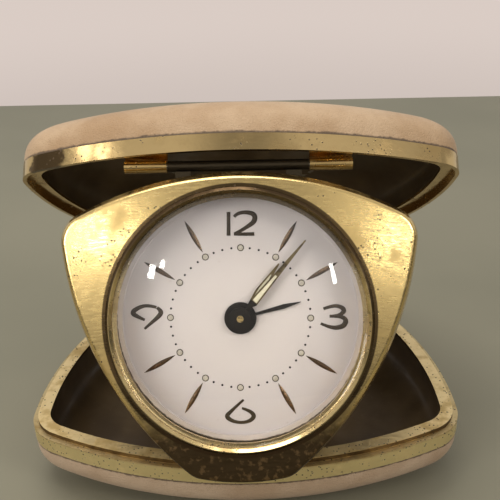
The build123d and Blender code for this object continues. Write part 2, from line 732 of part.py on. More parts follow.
BAR_SECTION = Plane(
    origin=CLOCK.from_local_coords(Vector(0, PIN_IN_CLOCK_Y, -PIN_BEHIND_CLOCK)),
    x_dir=CLOCK.y_dir,
    z_dir=CLOCK.x_dir,
)
BAR_ARM_REACH = BACK_PLATE_BACK + PIN_BEHIND_CLOCK
with BuildPart() as clock_bar:
    disc(BAR_SECTION, BAR_R, -BAR_HALF, BAR_HALF)
    for place in (-BAR_ARM_PLACE, BAR_ARM_PLACE):
        with BuildSketch(BAR_SECTION.offset(place - BAR_ARM_W / 2)) as flat:
            with Locations((-BAR_ARM_DEPTH / 2, 0)):
                Rectangle(BAR_ARM_DEPTH, BAR_ARM_T)
            with Locations((BAR_ARM_T / 2 - BAR_ARM_DEPTH, BAR_ARM_REACH / 2)):
                Rectangle(BAR_ARM_T, BAR_ARM_REACH)
        extrude(flat.sketch, amount=BAR_ARM_W)
    disc(BAR_SECTION, FRONT_PIN_R + FRONT_PIN_FIT, -2 * BAR_HALF, 2 * BAR_HALF, Mode.SUBTRACT)
write(clock_bar, "clock_bar")


# Front case of the clock: a pressed shield with flared sides and a slightly crowned face
def shield(inset):
    """The clock's shell made solid, with every face drawn in by inset."""
    slope = SHELL_FLARE / SHELL_SIDE_H
    height = FACE_TOP + OVERRUN
    lower = outline(CLOCK.offset(SHELL_BACK), CLOCK_ARCS, inset)
    upper = outline(CLOCK.offset(height), CLOCK_ARCS, inset + slope * height)
    with BuildPart() as form:
        loft(sections=[lower, upper], ruled=True)
        with Locations(lying(over(CENTRE).offset(FACE_TOP - FACE_R - inset))):
            Sphere(FACE_R, mode=Mode.INTERSECT)
    return form.part


SHIELD = shield(0)
SHIELD_HOLLOW = shield(SHELL_T)
with BuildPart() as front_case:
    add(SHIELD)
    face_edges = front_case.faces().sort_by(Axis(CLOCK.origin, CLOCK.z_dir))[-1].edges()
    fillet(face_edges, SHELL_EDGE_R)
    add(SHIELD_HOLLOW, mode=Mode.SUBTRACT)
    disc(over(CENTRE), BEZEL_R + CASE_FIT, SHELL_BACK, FACE_TOP + OVERRUN, Mode.SUBTRACT)
write(front_case, "front_case")

# Bezel: a turned ring with a flange under the face and a seat for the crystal
DIAL_SECTION = beside(CENTRE)
BEZEL_INNER_R = BEZEL_R - BEZEL_WALL
FACE_UNDER_BEZEL = FACE_TOP - SHELL_T - BEZEL_R**2 / (2 * FACE_R) - CASE_FIT
with BuildPart() as bezel:
    turned(
        DIAL_SECTION,
        (
            (BEZEL_INNER_R, BEZEL_BACK),
            (BEZEL_R, BEZEL_BACK),
            (BEZEL_R, FACE_UNDER_BEZEL - BEZEL_FLANGE_T),
            (BEZEL_R + BEZEL_FLANGE_W, FACE_UNDER_BEZEL - BEZEL_FLANGE_T),
            (BEZEL_R + BEZEL_FLANGE_W, FACE_UNDER_BEZEL),
            (BEZEL_R, FACE_UNDER_BEZEL),
            (BEZEL_R, BEZEL_TOP),
            (BEZEL_INNER_R, BEZEL_TOP),
            (BEZEL_INNER_R, SEAT_TOP),
            (BEZEL_INNER_R - SEAT_W, SEAT_TOP),
            (BEZEL_INNER_R - SEAT_W, SEAT_TOP - SEAT_T),
            (BEZEL_INNER_R, SEAT_TOP - SEAT_T),
        ),
    )
    rim_edges = bezel.faces().sort_by(Axis(CLOCK.origin, CLOCK.z_dir))[-1].edges()
    chamfer(rim_edges, BEZEL_ROUND)
write(bezel, "bezel")

# Crystal: a dished disc between two spheres
CRYSTAL_SPHERE_R = (CRYSTAL_R**2 + CRYSTAL_RISE**2) / (2 * CRYSTAL_RISE)
with BuildPart() as crystal:
    disc(over(CENTRE), CRYSTAL_R, SEAT_TOP, CRYSTAL_EDGE + CRYSTAL_RISE)
    crystal_centre = over(CENTRE).offset(CRYSTAL_EDGE + CRYSTAL_RISE - CRYSTAL_SPHERE_R)
    with Locations(lying(crystal_centre)):
        Sphere(CRYSTAL_SPHERE_R, mode=Mode.INTERSECT)
    with Locations(lying(crystal_centre.offset(-CRYSTAL_T))):
        Sphere(CRYSTAL_SPHERE_R, mode=Mode.SUBTRACT)
write(crystal, "crystal")

# Dial with its feet, and the ring that lies round it
with BuildPart() as dial:
    disc(over(CENTRE), DIAL_R, DIAL_BACK, DIAL_TOP)
    for angle in DIAL_FOOT_ANGLES:
        foot = over(step(CENTRE, DIAL_FOOT_PLACE, angle))
        disc(foot, DIAL_FOOT_R, FRONT_PLATE_BACK + END_SHAKE, DIAL_BACK)
    disc(over(CENTRE), DIAL_HOLE_R, DIAL_BACK, DIAL_TOP, Mode.SUBTRACT)
write(dial, "dial")

with BuildPart() as dial_ring:
    disc(over(CENTRE), BEZEL_INNER_R - CASE_FIT, DIAL_TOP, DIAL_TOP + RING_T)
    disc(over(CENTRE), RING_INNER_R, DIAL_TOP, DIAL_TOP + RING_T, Mode.SUBTRACT)
write(dial_ring, "dial_ring")

# Back plate in the shell's open back
BACK_PLATE_FRONT = BACK_PLATE_BACK + BACK_PLATE_T
EARS = [step(CENTRE, EAR_PLACE, angle) for angle in EAR_ANGLES]
with BuildPart() as back_plate:
    slab(CLOCK, CLOCK_ARCS, BACK_PLATE_INSET, BACK_PLATE_BACK, BACK_PLATE_FRONT)
    disc(over(CENTRE), BEZEL_R + CASE_FIT, BACK_PLATE_BACK, BACK_PLATE_FRONT, Mode.SUBTRACT)
    for ear in EARS:
        disc(over(ear), SCREW_R + SCREW_FIT, BACK_PLATE_BACK, BACK_PLATE_FRONT, Mode.SUBTRACT)
write(back_plate, "back_plate")

# Back can, pressed from sheet, with an eared flange against the back plate
FLANGE_BACK = BACK_PLATE_BACK - CAN_T
with BuildPart() as back_can:
    turned(
        DIAL_SECTION,
        (
            (0, CAN_CROWN_BACK),
            (CAN_CROWN_R, CAN_CROWN_BACK),
            (CAN_R, CAN_BACK),
            (CAN_R, FLANGE_BACK),
            (CAN_R + CAN_FLANGE_W, FLANGE_BACK),
            (CAN_R + CAN_FLANGE_W, BACK_PLATE_BACK),
            (0, BACK_PLATE_BACK),
        ),
    )
    for ear in EARS:
        disc(over(ear), EAR_R, FLANGE_BACK, BACK_PLATE_BACK)
        disc(over(ear), SCREW_R + SCREW_FIT, FLANGE_BACK, BACK_PLATE_BACK, Mode.SUBTRACT)
    turned(
        DIAL_SECTION,
        (
            (0, CAN_FLOOR),
            (CAN_CROWN_R - CAN_T, CAN_FLOOR),
            (CAN_INNER_R, CAN_BACK),
            (CAN_INNER_R, BACK_PLATE_FRONT),
            (0, BACK_PLATE_FRONT),
        ),
        Mode.SUBTRACT,
    )
    for spot in (MAIN, ALARM_MAIN):
        disc(over(spot), MAIN_ARBOR_R + CASE_FIT, CAN_CROWN_BACK, CAN_FLOOR, Mode.SUBTRACT)
    for spot in (CENTRE, SETTER):
        disc(over(spot), ARBOR_R + CASE_FIT, CAN_CROWN_BACK, CAN_FLOOR, Mode.SUBTRACT)
    stop_middle = (CENTRE[0] + STOP_PLACE[0] + STOP_TRAVEL / 2, CENTRE[1] + STOP_PLACE[1])
    with BuildSketch(over(stop_middle).offset(CAN_CROWN_BACK)) as slot:
        SlotCenterToCenter(STOP_TRAVEL, STOP_NECK + 2 * STOP_FIT)
    extrude(slot.sketch, amount=CAN_T, mode=Mode.SUBTRACT)
    with BuildSketch(over(BALANCE).offset(CAN_CROWN_BACK)) as slot:
        with BuildLine() as sweep_arc:
            slot_half = REGULATOR_SWING + REGULATOR_END
            CenterArc((0, 0), REGULATOR_ARM, 180 - slot_half, 2 * slot_half)
        trace(sweep_arc.line, line_width=REGULATOR_ARM_W + 2 * CASE_FIT)
    extrude(slot.sketch, amount=CAN_T, mode=Mode.SUBTRACT)
write(back_can, "back_can")

with BuildPart() as case_screws:
    for ear in EARS:
        screw(behind(ear, FLANGE_BACK), BACK_PLATE_FRONT - FLANGE_BACK)
write(case_screws, "case_screws")

# Plates of the movement, bored for every pivot, with pillars screwed between them
with BuildPart() as front_plate:
    disc(over(CENTRE), PLATE_R, FRONT_PLATE_BACK, FRONT_PLATE_FRONT)
    for angle in DIAL_FOOT_ANGLES:
        foot = over(step(CENTRE, DIAL_FOOT_PLACE, angle))
        disc(foot, DIAL_FOOT_R + RUN_FIT, FRONT_PLATE_BACK, FRONT_PLATE_FRONT, Mode.SUBTRACT)
    for spot in PIVOTS:
        disc(over(spot), PIVOT_R + RUN_FIT, FRONT_PLATE_BACK, FRONT_PLATE_FRONT, Mode.SUBTRACT)
    for spot in (CENTRE, SETTER, MINUTE):
        disc(over(spot), ARBOR_R + RUN_FIT, FRONT_PLATE_BACK, FRONT_PLATE_FRONT, Mode.SUBTRACT)
    for spot in (MAIN, ALARM_MAIN):
        disc(over(spot), MAIN_ARBOR_R + RUN_FIT, FRONT_PLATE_BACK, FRONT_PLATE_FRONT, Mode.SUBTRACT)
write(front_plate, "front_plate")

with BuildPart() as rear_plate:
    disc(over(CENTRE), PLATE_R, REAR_PLATE_BACK, REAR_PLATE_FRONT)
    disc(over(BALANCE), REGULATOR_BOSS_R, REAR_PLATE_BACK - REGULATOR_BOSS_H, REAR_PLATE_BACK)
    for spot in PIVOTS:
        disc(over(spot), PIVOT_R + RUN_FIT, REAR_PLATE_BACK - OVERRUN, REAR_PLATE_FRONT, Mode.SUBTRACT)
    for spot in (CENTRE, SETTER):
        disc(over(spot), ARBOR_R + RUN_FIT, REAR_PLATE_BACK, REAR_PLATE_FRONT, Mode.SUBTRACT)
    for spot in (MAIN, ALARM_MAIN):
        disc(over(spot), MAIN_ARBOR_R + RUN_FIT, REAR_PLATE_BACK, REAR_PLATE_FRONT, Mode.SUBTRACT)
    for spot in PILLARS:
        disc(over(spot), SCREW_R + SCREW_FIT, REAR_PLATE_BACK, REAR_PLATE_FRONT, Mode.SUBTRACT)
write(rear_plate, "rear_plate")

with BuildPart() as pillars:
    for spot in PILLARS:
        disc(over(spot), PILLAR_R, REAR_PLATE_FRONT, FRONT_PLATE_BACK)
        disc(over(spot), SCREW_R + SCREW_FIT, REAR_PLATE_FRONT, REAR_PLATE_FRONT + OVERRUN, Mode.SUBTRACT)
write(pillars, "pillars")

with BuildPart() as pillar_screws:
    for spot in PILLARS:
        screw(behind(spot, REAR_PLATE_BACK), PLATE_T + OVERRUN - END_SHAKE)
write(pillar_screws, "pillar_screws")

# Mainsprings, coiled round their arbors behind the main wheels
SPRING_TOP = MAIN_LEVEL - SPRING_GAP
with BuildPart() as time_mainspring:
    coil(over(MAIN), MAINSPRING_R, MAINSPRING_PITCH, TIME_SPRING_HALF_TURNS, MAINSPRING_T,
         SPRING_TOP - TIME_SPRING_H, SPRING_TOP)
write(time_mainspring, "time_mainspring")

with BuildPart() as alarm_mainspring:
    coil(over(ALARM_MAIN), MAINSPRING_R, MAINSPRING_PITCH, ALARM_SPRING_HALF_TURNS, MAINSPRING_T,
         SPRING_TOP - ALARM_SPRING_H, SPRING_TOP)
write(alarm_mainspring, "alarm_mainspring")

# Going train, from the main wheel to the escape wheel
with BuildPart() as time_main_wheel:
    gear(over(MAIN), MAIN_TEETH, MAIN_MODULE, MAIN_LEVEL, MAIN_LEVEL + WHEEL_T)
    disc(over(MAIN), MAIN_ARBOR_R + RUN_FIT, MAIN_LEVEL, MAIN_LEVEL + WHEEL_T, Mode.SUBTRACT)
write(time_main_wheel, "time_main_wheel")

with BuildPart() as centre_wheel:
    gear(over(CENTRE), CENTRE_TEETH, CENTRE_MODULE, CENTRE_LEVEL, CENTRE_LEVEL + WHEEL_T)
    crossed(over(CENTRE), CENTRE_TEETH, CENTRE_MODULE, CENTRE_LEVEL)
    centre_phase = meshed(0, MAIN_TEETH, CENTRE_PINION_TEETH, MAIN_ANGLE - 180)
    gear(over(CENTRE), CENTRE_PINION_TEETH, MAIN_MODULE, MAIN_LEVEL - PINION_OVERHANG, CENTRE_LEVEL,
         centre_phase)
    disc(over(CENTRE), ARBOR_R + RUN_FIT, MAIN_LEVEL - OVERRUN, CENTRE_LEVEL + OVERRUN, Mode.SUBTRACT)
write(centre_wheel, "centre_wheel")

with BuildPart() as third_wheel:
    arbor(over(THIRD))
    gear(over(THIRD), THIRD_TEETH, THIRD_MODULE, THIRD_LEVEL, THIRD_LEVEL + WHEEL_T)
    crossed(over(THIRD), THIRD_TEETH, THIRD_MODULE, THIRD_LEVEL)
    third_phase = meshed(0, CENTRE_TEETH, THIRD_PINION_TEETH, THIRD_ANGLE)
    pinion(over(THIRD), THIRD_PINION_TEETH, CENTRE_MODULE, CENTRE_LEVEL, third_phase)
write(third_wheel, "third_wheel")

with BuildPart() as fourth_wheel:
    arbor(over(FOURTH))
    gear(over(FOURTH), FOURTH_TEETH, FOURTH_MODULE, FOURTH_LEVEL, FOURTH_LEVEL + WHEEL_T)
    crossed(over(FOURTH), FOURTH_TEETH, FOURTH_MODULE, FOURTH_LEVEL)
    fourth_phase = meshed(0, THIRD_TEETH, FOURTH_PINION_TEETH, FOURTH_ANGLE)
    pinion(over(FOURTH), FOURTH_PINION_TEETH, THIRD_MODULE, THIRD_LEVEL, fourth_phase)
write(fourth_wheel, "fourth_wheel")

with BuildPart() as escape_wheel:
    arbor(over(ESCAPE))
    toothed(over(ESCAPE), ESCAPE_R, ESCAPE_R - ESCAPE_TOOTH, ESCAPE_TEETH, ESCAPE_LEVEL,
            ESCAPE_LEVEL + WHEEL_T, lean=ESCAPE_LEAN)
    escape_phase = meshed(0, FOURTH_TEETH, ESCAPE_PINION_TEETH, ESCAPE_ANGLE)
    pinion(over(ESCAPE), ESCAPE_PINION_TEETH, FOURTH_MODULE, FOURTH_LEVEL, escape_phase)
write(escape_wheel, "escape_wheel")

# Escapement: pallet fork, balance and hairspring
with BuildPart() as pallet_fork:
    arbor(over(PALLET))
    disc(over(PALLET), PALLET_HUB_R, ESCAPE_LEVEL, ESCAPE_LEVEL + WHEEL_T)
    arms = (
        (PALLET_ANGLE + 180 + PALLET_SPREAD, PALLET_ARM),
        (PALLET_ANGLE + 180 - PALLET_SPREAD, PALLET_ARM),
        (BALANCE_ANGLE, LEVER_LENGTH),
    )
    for angle, reach in arms:
        arm = over(PALLET, angle).offset(ESCAPE_LEVEL)
        with BuildSketch(arm) as flat:
            with Locations((reach / 2, 0)):
                Rectangle(reach, PALLET_ARM_W)
        extrude(flat.sketch, amount=WHEEL_T)
write(pallet_fork, "pallet_fork")

with BuildPart() as balance_wheel:
    arbor(over(BALANCE))
    disc(over(BALANCE), ROLLER_R, ESCAPE_LEVEL, ESCAPE_LEVEL + WHEEL_T)
    with BuildSketch(over(BALANCE).offset(BALANCE_LEVEL)) as flat:
        Circle(BALANCE_R)
        Circle(BALANCE_R - BALANCE_RIM_W, mode=Mode.SUBTRACT)
        Rectangle(2 * BALANCE_R - BALANCE_RIM_W, BALANCE_RIM_W)
    extrude(flat.sketch, amount=BALANCE_T)
write(balance_wheel, "balance_wheel")

with BuildPart() as hairspring:
    spring_top = BALANCE_LEVEL - SPRING_GAP
    coil(over(BALANCE), HAIRSPRING_R, HAIRSPRING_PITCH, HAIRSPRING_HALF_TURNS, HAIRSPRING_T,
         spring_top - HAIRSPRING_H, spring_top)
write(hairspring, "hairspring")

# Motion work: the pipes at the centre turn one inside the other
POST_BACK = CAN_CROWN_BACK - KEY_GAP - KNOB_H
with BuildPart() as centre_arbor:
    disc(over(CENTRE), ARBOR_R, POST_BACK, MINUTE_LEVEL)
write(centre_arbor, "centre_arbor")

with BuildPart() as cannon_pinion:
    gear(over(CENTRE), CANNON_TEETH, CANNON_MODULE, MINUTE_LEVEL, MINUTE_LEVEL + WHEEL_T)
    disc(over(CENTRE), CANNON_R, MINUTE_LEVEL, MINUTE_HAND_BACK)
    disc(over(CENTRE), POST_R, MINUTE_HAND_BACK, POST_TOP)
write(cannon_pinion, "cannon_pinion")

with BuildPart() as minute_wheel:
    gear(over(MINUTE), MINUTE_TEETH, CANNON_MODULE, MINUTE_LEVEL, MINUTE_LEVEL + WHEEL_T,
         meshed(0, CANNON_TEETH, MINUTE_TEETH, MINUTE_ANGLE))
    gear(over(MINUTE), MINUTE_PINION_TEETH, HOUR_MODULE, MINUTE_LEVEL + WHEEL_T, HOUR_LEVEL + WHEEL_T)
    disc(over(MINUTE), ARBOR_R, FRONT_PLATE_BACK + END_SHAKE, MINUTE_LEVEL)
write(minute_wheel, "minute_wheel")

with BuildPart() as hour_wheel:
    gear(over(CENTRE), HOUR_TEETH, HOUR_MODULE, HOUR_LEVEL, HOUR_LEVEL + WHEEL_T,
         meshed(0, MINUTE_PINION_TEETH, HOUR_TEETH, MINUTE_ANGLE + 180))
    disc(over(CENTRE), HOUR_PIPE_R, HOUR_LEVEL, HOUR_HAND_BACK)
    disc(over(CENTRE), CANNON_R + RUN_FIT, HOUR_LEVEL, HOUR_HAND_BACK, Mode.SUBTRACT)
write(hour_wheel, "hour_wheel")

with BuildPart() as alarm_wheel:
    gear(over(CENTRE), ALARM_TEETH, ALARM_MODULE, ALARM_LEVEL, ALARM_LEVEL + WHEEL_T - END_SHAKE)
    disc(over(CENTRE), ALARM_PIPE_R, ALARM_LEVEL, ALARM_HAND_BACK)
    disc(over(CENTRE), HOUR_PIPE_R + RUN_FIT, ALARM_LEVEL, ALARM_HAND_BACK, Mode.SUBTRACT)
write(alarm_wheel, "alarm_wheel")

with BuildPart() as alarm_set_arbor:
    gear(over(SETTER), SETTER_TEETH, ALARM_MODULE, ALARM_LEVEL, ALARM_LEVEL + WHEEL_T - END_SHAKE,
         meshed(0, ALARM_TEETH, SETTER_TEETH, SETTER_ANGLE))
    disc(over(SETTER), ARBOR_R, POST_BACK, ALARM_LEVEL)
write(alarm_set_arbor, "alarm_set_arbor")


# Hands: each a hub with one blade, bored for its pipe, and a luminous filling in the blade
def blade(plane, corners, low, high, mode=Mode.ADD):
    """A pointed strip along the plane's x: corners of distance and half width."""
    upper = [(reach, half) for reach, half in corners]
    lower = [(reach, -half) for reach, half in reversed(corners)]
    with BuildSketch(plane.offset(low)) as flat:
        with BuildLine():
            Polyline(*upper, *lower, close=True)
        make_face()
    extrude(flat.sketch, amount=high - low, mode=mode)


def half_width(profile, reach):
    """Half a blade's width at a distance from its centre."""
    for (near, near_half), (far, far_half) in zip(profile, profile[1:]):
        if near <= reach <= far:
            half = near_half + (far_half - near_half) * (reach - near) / (far - near)
    return half


timed_hands = (
    ("minute", MINUTE_HAND_LENGTH, MINUTE_HAND_ANGLE, MINUTE_HAND_BACK, POST_R, MINUTE_SHARES),
    ("hour", HOUR_HAND_LENGTH, HOUR_HAND_ANGLE, HOUR_HAND_BACK, CANNON_R + RUN_FIT, HOUR_SHARES),
)
for name, length, angle, back, bore, shares in timed_hands:
    along = over(CENTRE, angle)
    neck, widest, lume_start, lume_end = (share * length for share in shares)
    profile = (
        (0, HAND_ROOT_W / 2),
        (neck, HAND_ROOT_W / 2),
        (widest, HAND_WIDTH / 2),
        (length, HAND_TIP_W / 2),
    )
    lume_middle = max(widest, (lume_start + lume_end) / 2)
    filling = [
        (reach, half_width(profile, reach) - HAND_EDGE_W) for reach in (lume_start, lume_middle, lume_end)
    ]
    with BuildPart() as hand:
        blade(along, profile, back, back + HAND_T)
        blade(along, filling, back, back + HAND_T, Mode.SUBTRACT)
        disc(along, HAND_HUB_R, back, back + HAND_HUB_T)
        disc(along, bore, back, back + HAND_HUB_T, Mode.SUBTRACT)
    write(hand, f"{name}_hand")

    with BuildPart() as lume:
        blade(along, filling, back, back + HAND_T - LUME_SINK)
    write(lume, f"{name}_lume")

with BuildPart() as alarm_hand:
    along = over(CENTRE, ALARM_HAND_ANGLE)
    head = ALARM_HEAD_SHARE * ALARM_HAND_LENGTH
    profile = (
        (0, ALARM_HAND_ROOT_W / 2),
        (head, ALARM_HAND_WIDTH / 2),
        (ALARM_HAND_LENGTH, ALARM_HAND_TIP_W / 2),
    )
    blade(along, profile, ALARM_HAND_BACK, ALARM_HAND_BACK + HAND_T)
    disc(along, ALARM_HUB_R, ALARM_HAND_BACK, ALARM_HAND_BACK + HAND_T)
    disc(along, HOUR_PIPE_R + RUN_FIT, ALARM_HAND_BACK, ALARM_HAND_BACK + HAND_T, Mode.SUBTRACT)
write(alarm_hand, "alarm_hand")

# Alarm work: main wheel, star wheel and hammer
with BuildPart() as alarm_main_wheel:
    gear(over(ALARM_MAIN), ALARM_MAIN_TEETH, ALARM_MAIN_MODULE, MAIN_LEVEL, MAIN_LEVEL + WHEEL_T)
    disc(over(ALARM_MAIN), MAIN_ARBOR_R + RUN_FIT, MAIN_LEVEL, MAIN_LEVEL + WHEEL_T, Mode.SUBTRACT)
write(alarm_main_wheel, "alarm_main_wheel")

with BuildPart() as alarm_star_wheel:
    arbor(over(STAR))
    toothed(over(STAR), STAR_R, STAR_R - STAR_TOOTH, STAR_TEETH, ESCAPE_LEVEL, ESCAPE_LEVEL + WHEEL_T)
    star_phase = meshed(0, ALARM_MAIN_TEETH, STAR_PINION_TEETH, STAR_ANGLE)
    pinion(over(STAR), STAR_PINION_TEETH, ALARM_MAIN_MODULE, MAIN_LEVEL, star_phase)
write(alarm_star_wheel, "alarm_star_wheel")

with BuildPart() as alarm_hammer:
    arbor(over(HAMMER))
    disc(over(HAMMER), HAMMER_HUB_R, ESCAPE_LEVEL, ESCAPE_LEVEL + WHEEL_T)
    with BuildSketch(over(HAMMER, HAMMER_AIM).offset(ESCAPE_LEVEL)) as flat:
        with Locations((HAMMER_ARM / 2, 0)):
            Rectangle(HAMMER_ARM, HAMMER_ARM_W)
        with Locations((HAMMER_ARM, 0)):
            Circle(HAMMER_HEAD_R)
    extrude(flat.sketch, amount=WHEEL_T)
write(alarm_hammer, "alarm_hammer")

# Winding arbors with their winged keys
for name, spot in (("time", MAIN), ("alarm", ALARM_MAIN)):
    with BuildPart() as main_arbor:
        disc(over(spot), MAIN_ARBOR_R, CAN_CROWN_BACK - KEY_GAP, FRONT_PLATE_FRONT - END_SHAKE)
    write(main_arbor, f"{name}_arbor")

    with BuildPart() as key:
        key_front = CAN_CROWN_BACK - KEY_GAP
        disc(over(spot), KEY_BOSS_R, key_front - KEY_BOSS_H, key_front)
        wing = over(spot, KEY_WING_ANGLE).offset(key_front - KEY_BOSS_H)
        block(wing, KEY_WING_LENGTH, KEY_WING_T, -KEY_WING_H, 0)
        wing_ends = key.edges().filter_by(Axis(wing.origin, wing.y_dir))
        fillet(wing_ends.sort_by(Axis(wing.origin, wing.z_dir))[:2], KEY_WING_H / 2)
    write(key, f"{name}_key")

# Setting knobs with knurled rims
knobs = (("hand_set_knob", CENTRE, HAND_KNOB_R), ("alarm_set_knob", SETTER, ALARM_KNOB_R))
for name, spot, knob_r in knobs:
    with BuildPart() as knob:
        toothed(over(spot), knob_r, knob_r * KNOB_RIDGE_SHARE, KNOB_RIDGES, POST_BACK, POST_BACK + KNOB_H)
        disc(over(spot), ARBOR_R, POST_BACK, POST_BACK + KNOB_H, Mode.SUBTRACT)
    write(knob, name)

# Alarm stop: a thumb slide whose neck passes through the can
with BuildPart() as alarm_stop:
    stop = over((CENTRE[0] + STOP_PLACE[0], CENTRE[1] + STOP_PLACE[1]))
    disc(stop, STOP_NECK / 2, CAN_CROWN_BACK - STOP_FIT, CAN_FLOOR + STOP_FIT)
    block(stop, STOP_THUMB_LENGTH, STOP_THUMB_W, CAN_FLOOR + STOP_FIT, CAN_FLOOR + STOP_FIT + STOP_PLATE_T)
    thumb_front = CAN_CROWN_BACK - STOP_FIT
    block(stop, STOP_THUMB_LENGTH, STOP_THUMB_W, thumb_front - STOP_THUMB_H, thumb_front)
write(alarm_stop, "alarm_stop")

# Regulator: a ring on the balance's rear boss, an arm, and a tip that shows through the can
with BuildPart() as regulator:
    ring_front = REAR_PLATE_BACK - STOP_FIT
    with BuildSketch(over(BALANCE).offset(ring_front - REGULATOR_T)) as flat:
        Circle(REGULATOR_RING_R)
        with Locations((-REGULATOR_ARM / 2, 0)):
            Rectangle(REGULATOR_ARM, REGULATOR_ARM_W)
        Circle(REGULATOR_BOSS_R + RUN_FIT, mode=Mode.SUBTRACT)
    extrude(flat.sketch, amount=REGULATOR_T)
    tip = over((BALANCE[0] - REGULATOR_ARM, BALANCE[1]))
    disc(tip, REGULATOR_ARM_W / 2, CAN_CROWN_BACK - REGULATOR_TIP, ring_front)
write(regulator, "regulator")
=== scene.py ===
# %% [markdown]
# # A folding travel alarm clock
# The real clock is a leather-covered clamshell with brass rims. A shield-shaped brass
# alarm clock hangs from the raised lid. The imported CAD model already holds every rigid
# piece in its place, so this lesson dresses it: finishes for the metals, leather over
# the two domes, and everything that is printed or raised on the dial.

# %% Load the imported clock
import json
import math

import bmesh
import bpy
from mathutils import Matrix, Vector


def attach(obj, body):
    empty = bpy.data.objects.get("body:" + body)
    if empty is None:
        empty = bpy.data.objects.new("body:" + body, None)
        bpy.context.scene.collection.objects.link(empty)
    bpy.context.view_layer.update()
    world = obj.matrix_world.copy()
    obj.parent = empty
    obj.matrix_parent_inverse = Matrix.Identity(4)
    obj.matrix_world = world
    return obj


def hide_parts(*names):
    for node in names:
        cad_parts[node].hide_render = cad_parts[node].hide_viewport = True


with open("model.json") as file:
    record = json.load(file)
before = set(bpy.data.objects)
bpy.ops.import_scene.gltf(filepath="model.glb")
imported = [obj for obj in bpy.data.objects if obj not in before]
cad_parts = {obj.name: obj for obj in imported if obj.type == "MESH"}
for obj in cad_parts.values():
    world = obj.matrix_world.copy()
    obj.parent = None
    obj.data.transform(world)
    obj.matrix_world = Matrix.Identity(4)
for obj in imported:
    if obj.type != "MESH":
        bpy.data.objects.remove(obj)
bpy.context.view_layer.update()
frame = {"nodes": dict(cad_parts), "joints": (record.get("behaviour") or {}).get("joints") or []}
nodes = frame["nodes"]
MM = 0.001
joints = {joint["name"]: joint for joint in frame["joints"]}

# %% [markdown]
# ## Three planes to work on
# The clock leans back and the lid stands open, so neither lies square to the world.
# Working in world numbers would be hard to follow. Instead each gets a matrix, and a
# piece is drawn flat at the origin and then carried to its plane by that matrix.


# %% Planes of the dial and of the two case halves
def plane_matrix(origin, right, out):
    """A matrix whose x is right and whose z is out, with its origin at a point."""
    right = Vector(right).normalized()
    out = Vector(out).normalized()
    up = out.cross(right)
    turn = Matrix((right, up, out)).transposed().to_4x4()
    return Matrix.Translation(Vector(origin)) @ turn


DIAL_TOP = -2.2 * MM
PARTING = 13.2 * MM
LID_OPEN = math.radians(41.6)
HINGE_DROP = 2.0 * MM

dial_axis = Vector(joints["hand_setting"]["axis"])
dial_centre = Vector(joints["hand_setting"]["pos_m"]) + dial_axis * DIAL_TOP
dial_plane = plane_matrix(dial_centre, (1, 0, 0), dial_axis)
dial_up = dial_plane.col[1].to_3d()
PRINT_TURN = math.radians(-1.05)
printed_plane = dial_plane @ Matrix.Rotation(PRINT_TURN, 4, "Z")

rear_y = joints["lid_hinge"]["pos_m"][1]
lid_origin = Vector((
    0,
    rear_y * (1 - math.cos(LID_OPEN)) + HINGE_DROP * math.sin(LID_OPEN),
    PARTING - HINGE_DROP + rear_y * math.sin(LID_OPEN) + HINGE_DROP * math.cos(LID_OPEN),
))
half_planes = {
    "base": plane_matrix((0, 0, PARTING), (-1, 0, 0), (0, 0, -1)),
    "lid": plane_matrix(lid_origin, (1, 0, 0), (0, math.sin(LID_OPEN), math.cos(LID_OPEN))),
}
print("dial centre", [round(c / MM, 2) for c in dial_centre])

# %% [markdown]
# ## The camera
# The photograph was taken from a little above, close to the clock, with a slight tilt.
# A camera is easiest to place by its three directions. They are worked out from its
# pitch, its turn and its roll, and become the columns of its matrix.

# %% Camera at the photograph's viewing angle
CAMERA_PLACE = Vector((4.36, -143.35, 112.45)) * MM
PITCH = math.radians(27.99)
YAW = math.radians(-1.20)
ROLL = math.radians(-1.52)
FOCAL_SHARE = 799.5 / 500
SENSOR = 36.0

ahead = Vector((
    math.sin(YAW) * math.cos(PITCH),
    math.cos(YAW) * math.cos(PITCH),
    -math.sin(PITCH),
))
level = Vector((math.cos(YAW), -math.sin(YAW), 0))
upward = level.cross(ahead)
right = level * math.cos(ROLL) + upward * math.sin(ROLL)
over = upward * math.cos(ROLL) - level * math.sin(ROLL)
camera_data = bpy.data.cameras.new("photo_camera")
camera_data.sensor_width = SENSOR
camera_data.lens = SENSOR * FOCAL_SHARE
camera_data.clip_start = 0.005
camera = bpy.data.objects.new("photo_camera", camera_data)
camera.matrix_world = (
    Matrix.Translation(CAMERA_PLACE) @ Matrix((right, over, -ahead)).transposed().to_4x4()
)
bpy.context.scene.collection.objects.link(camera)
bpy.context.scene.camera = camera
bpy.context.scene.view_settings.view_transform = "Standard"
print("lens", round(camera_data.lens, 1), "mm")

# %% [markdown]
# ## A short way to write node trees
# Every finish here is a tree of nodes, and so is every repeated piece. Written out node
# by node they are long. One helper adds a node, and links an input where it is given a
# socket and sets its value where it is given anything else.


# %% Helpers for node trees
def put(tree, kind, inputs=None, **settings):
    """Adds a node. An input given as a socket is linked, and any other is set."""
    made = tree.nodes.new(kind)
    for name, value in settings.items():
        setattr(made, name, value)
    for name, value in (inputs or {}).items():
        if isinstance(value, bpy.types.NodeSocket):
            tree.links.new(value, made.inputs[name])
        else:
            made.inputs[name].default_value = value
    return made


def maths(tree, operation, first, second=0.0, clamp=False):
    """A step of maths on two numbers or sockets."""
    made = put(tree, "ShaderNodeMath", {0: first, 1: second}, operation=operation, use_clamp=clamp)
    return made.outputs[0]


def times(tree, first, second):
    """A product of two numbers or sockets."""
    return maths(tree, "MULTIPLY", first, second)


def rest_of(tree, value):
    """What a share leaves of one."""
    return maths(tree, "SUBTRACT", 1.0, value)


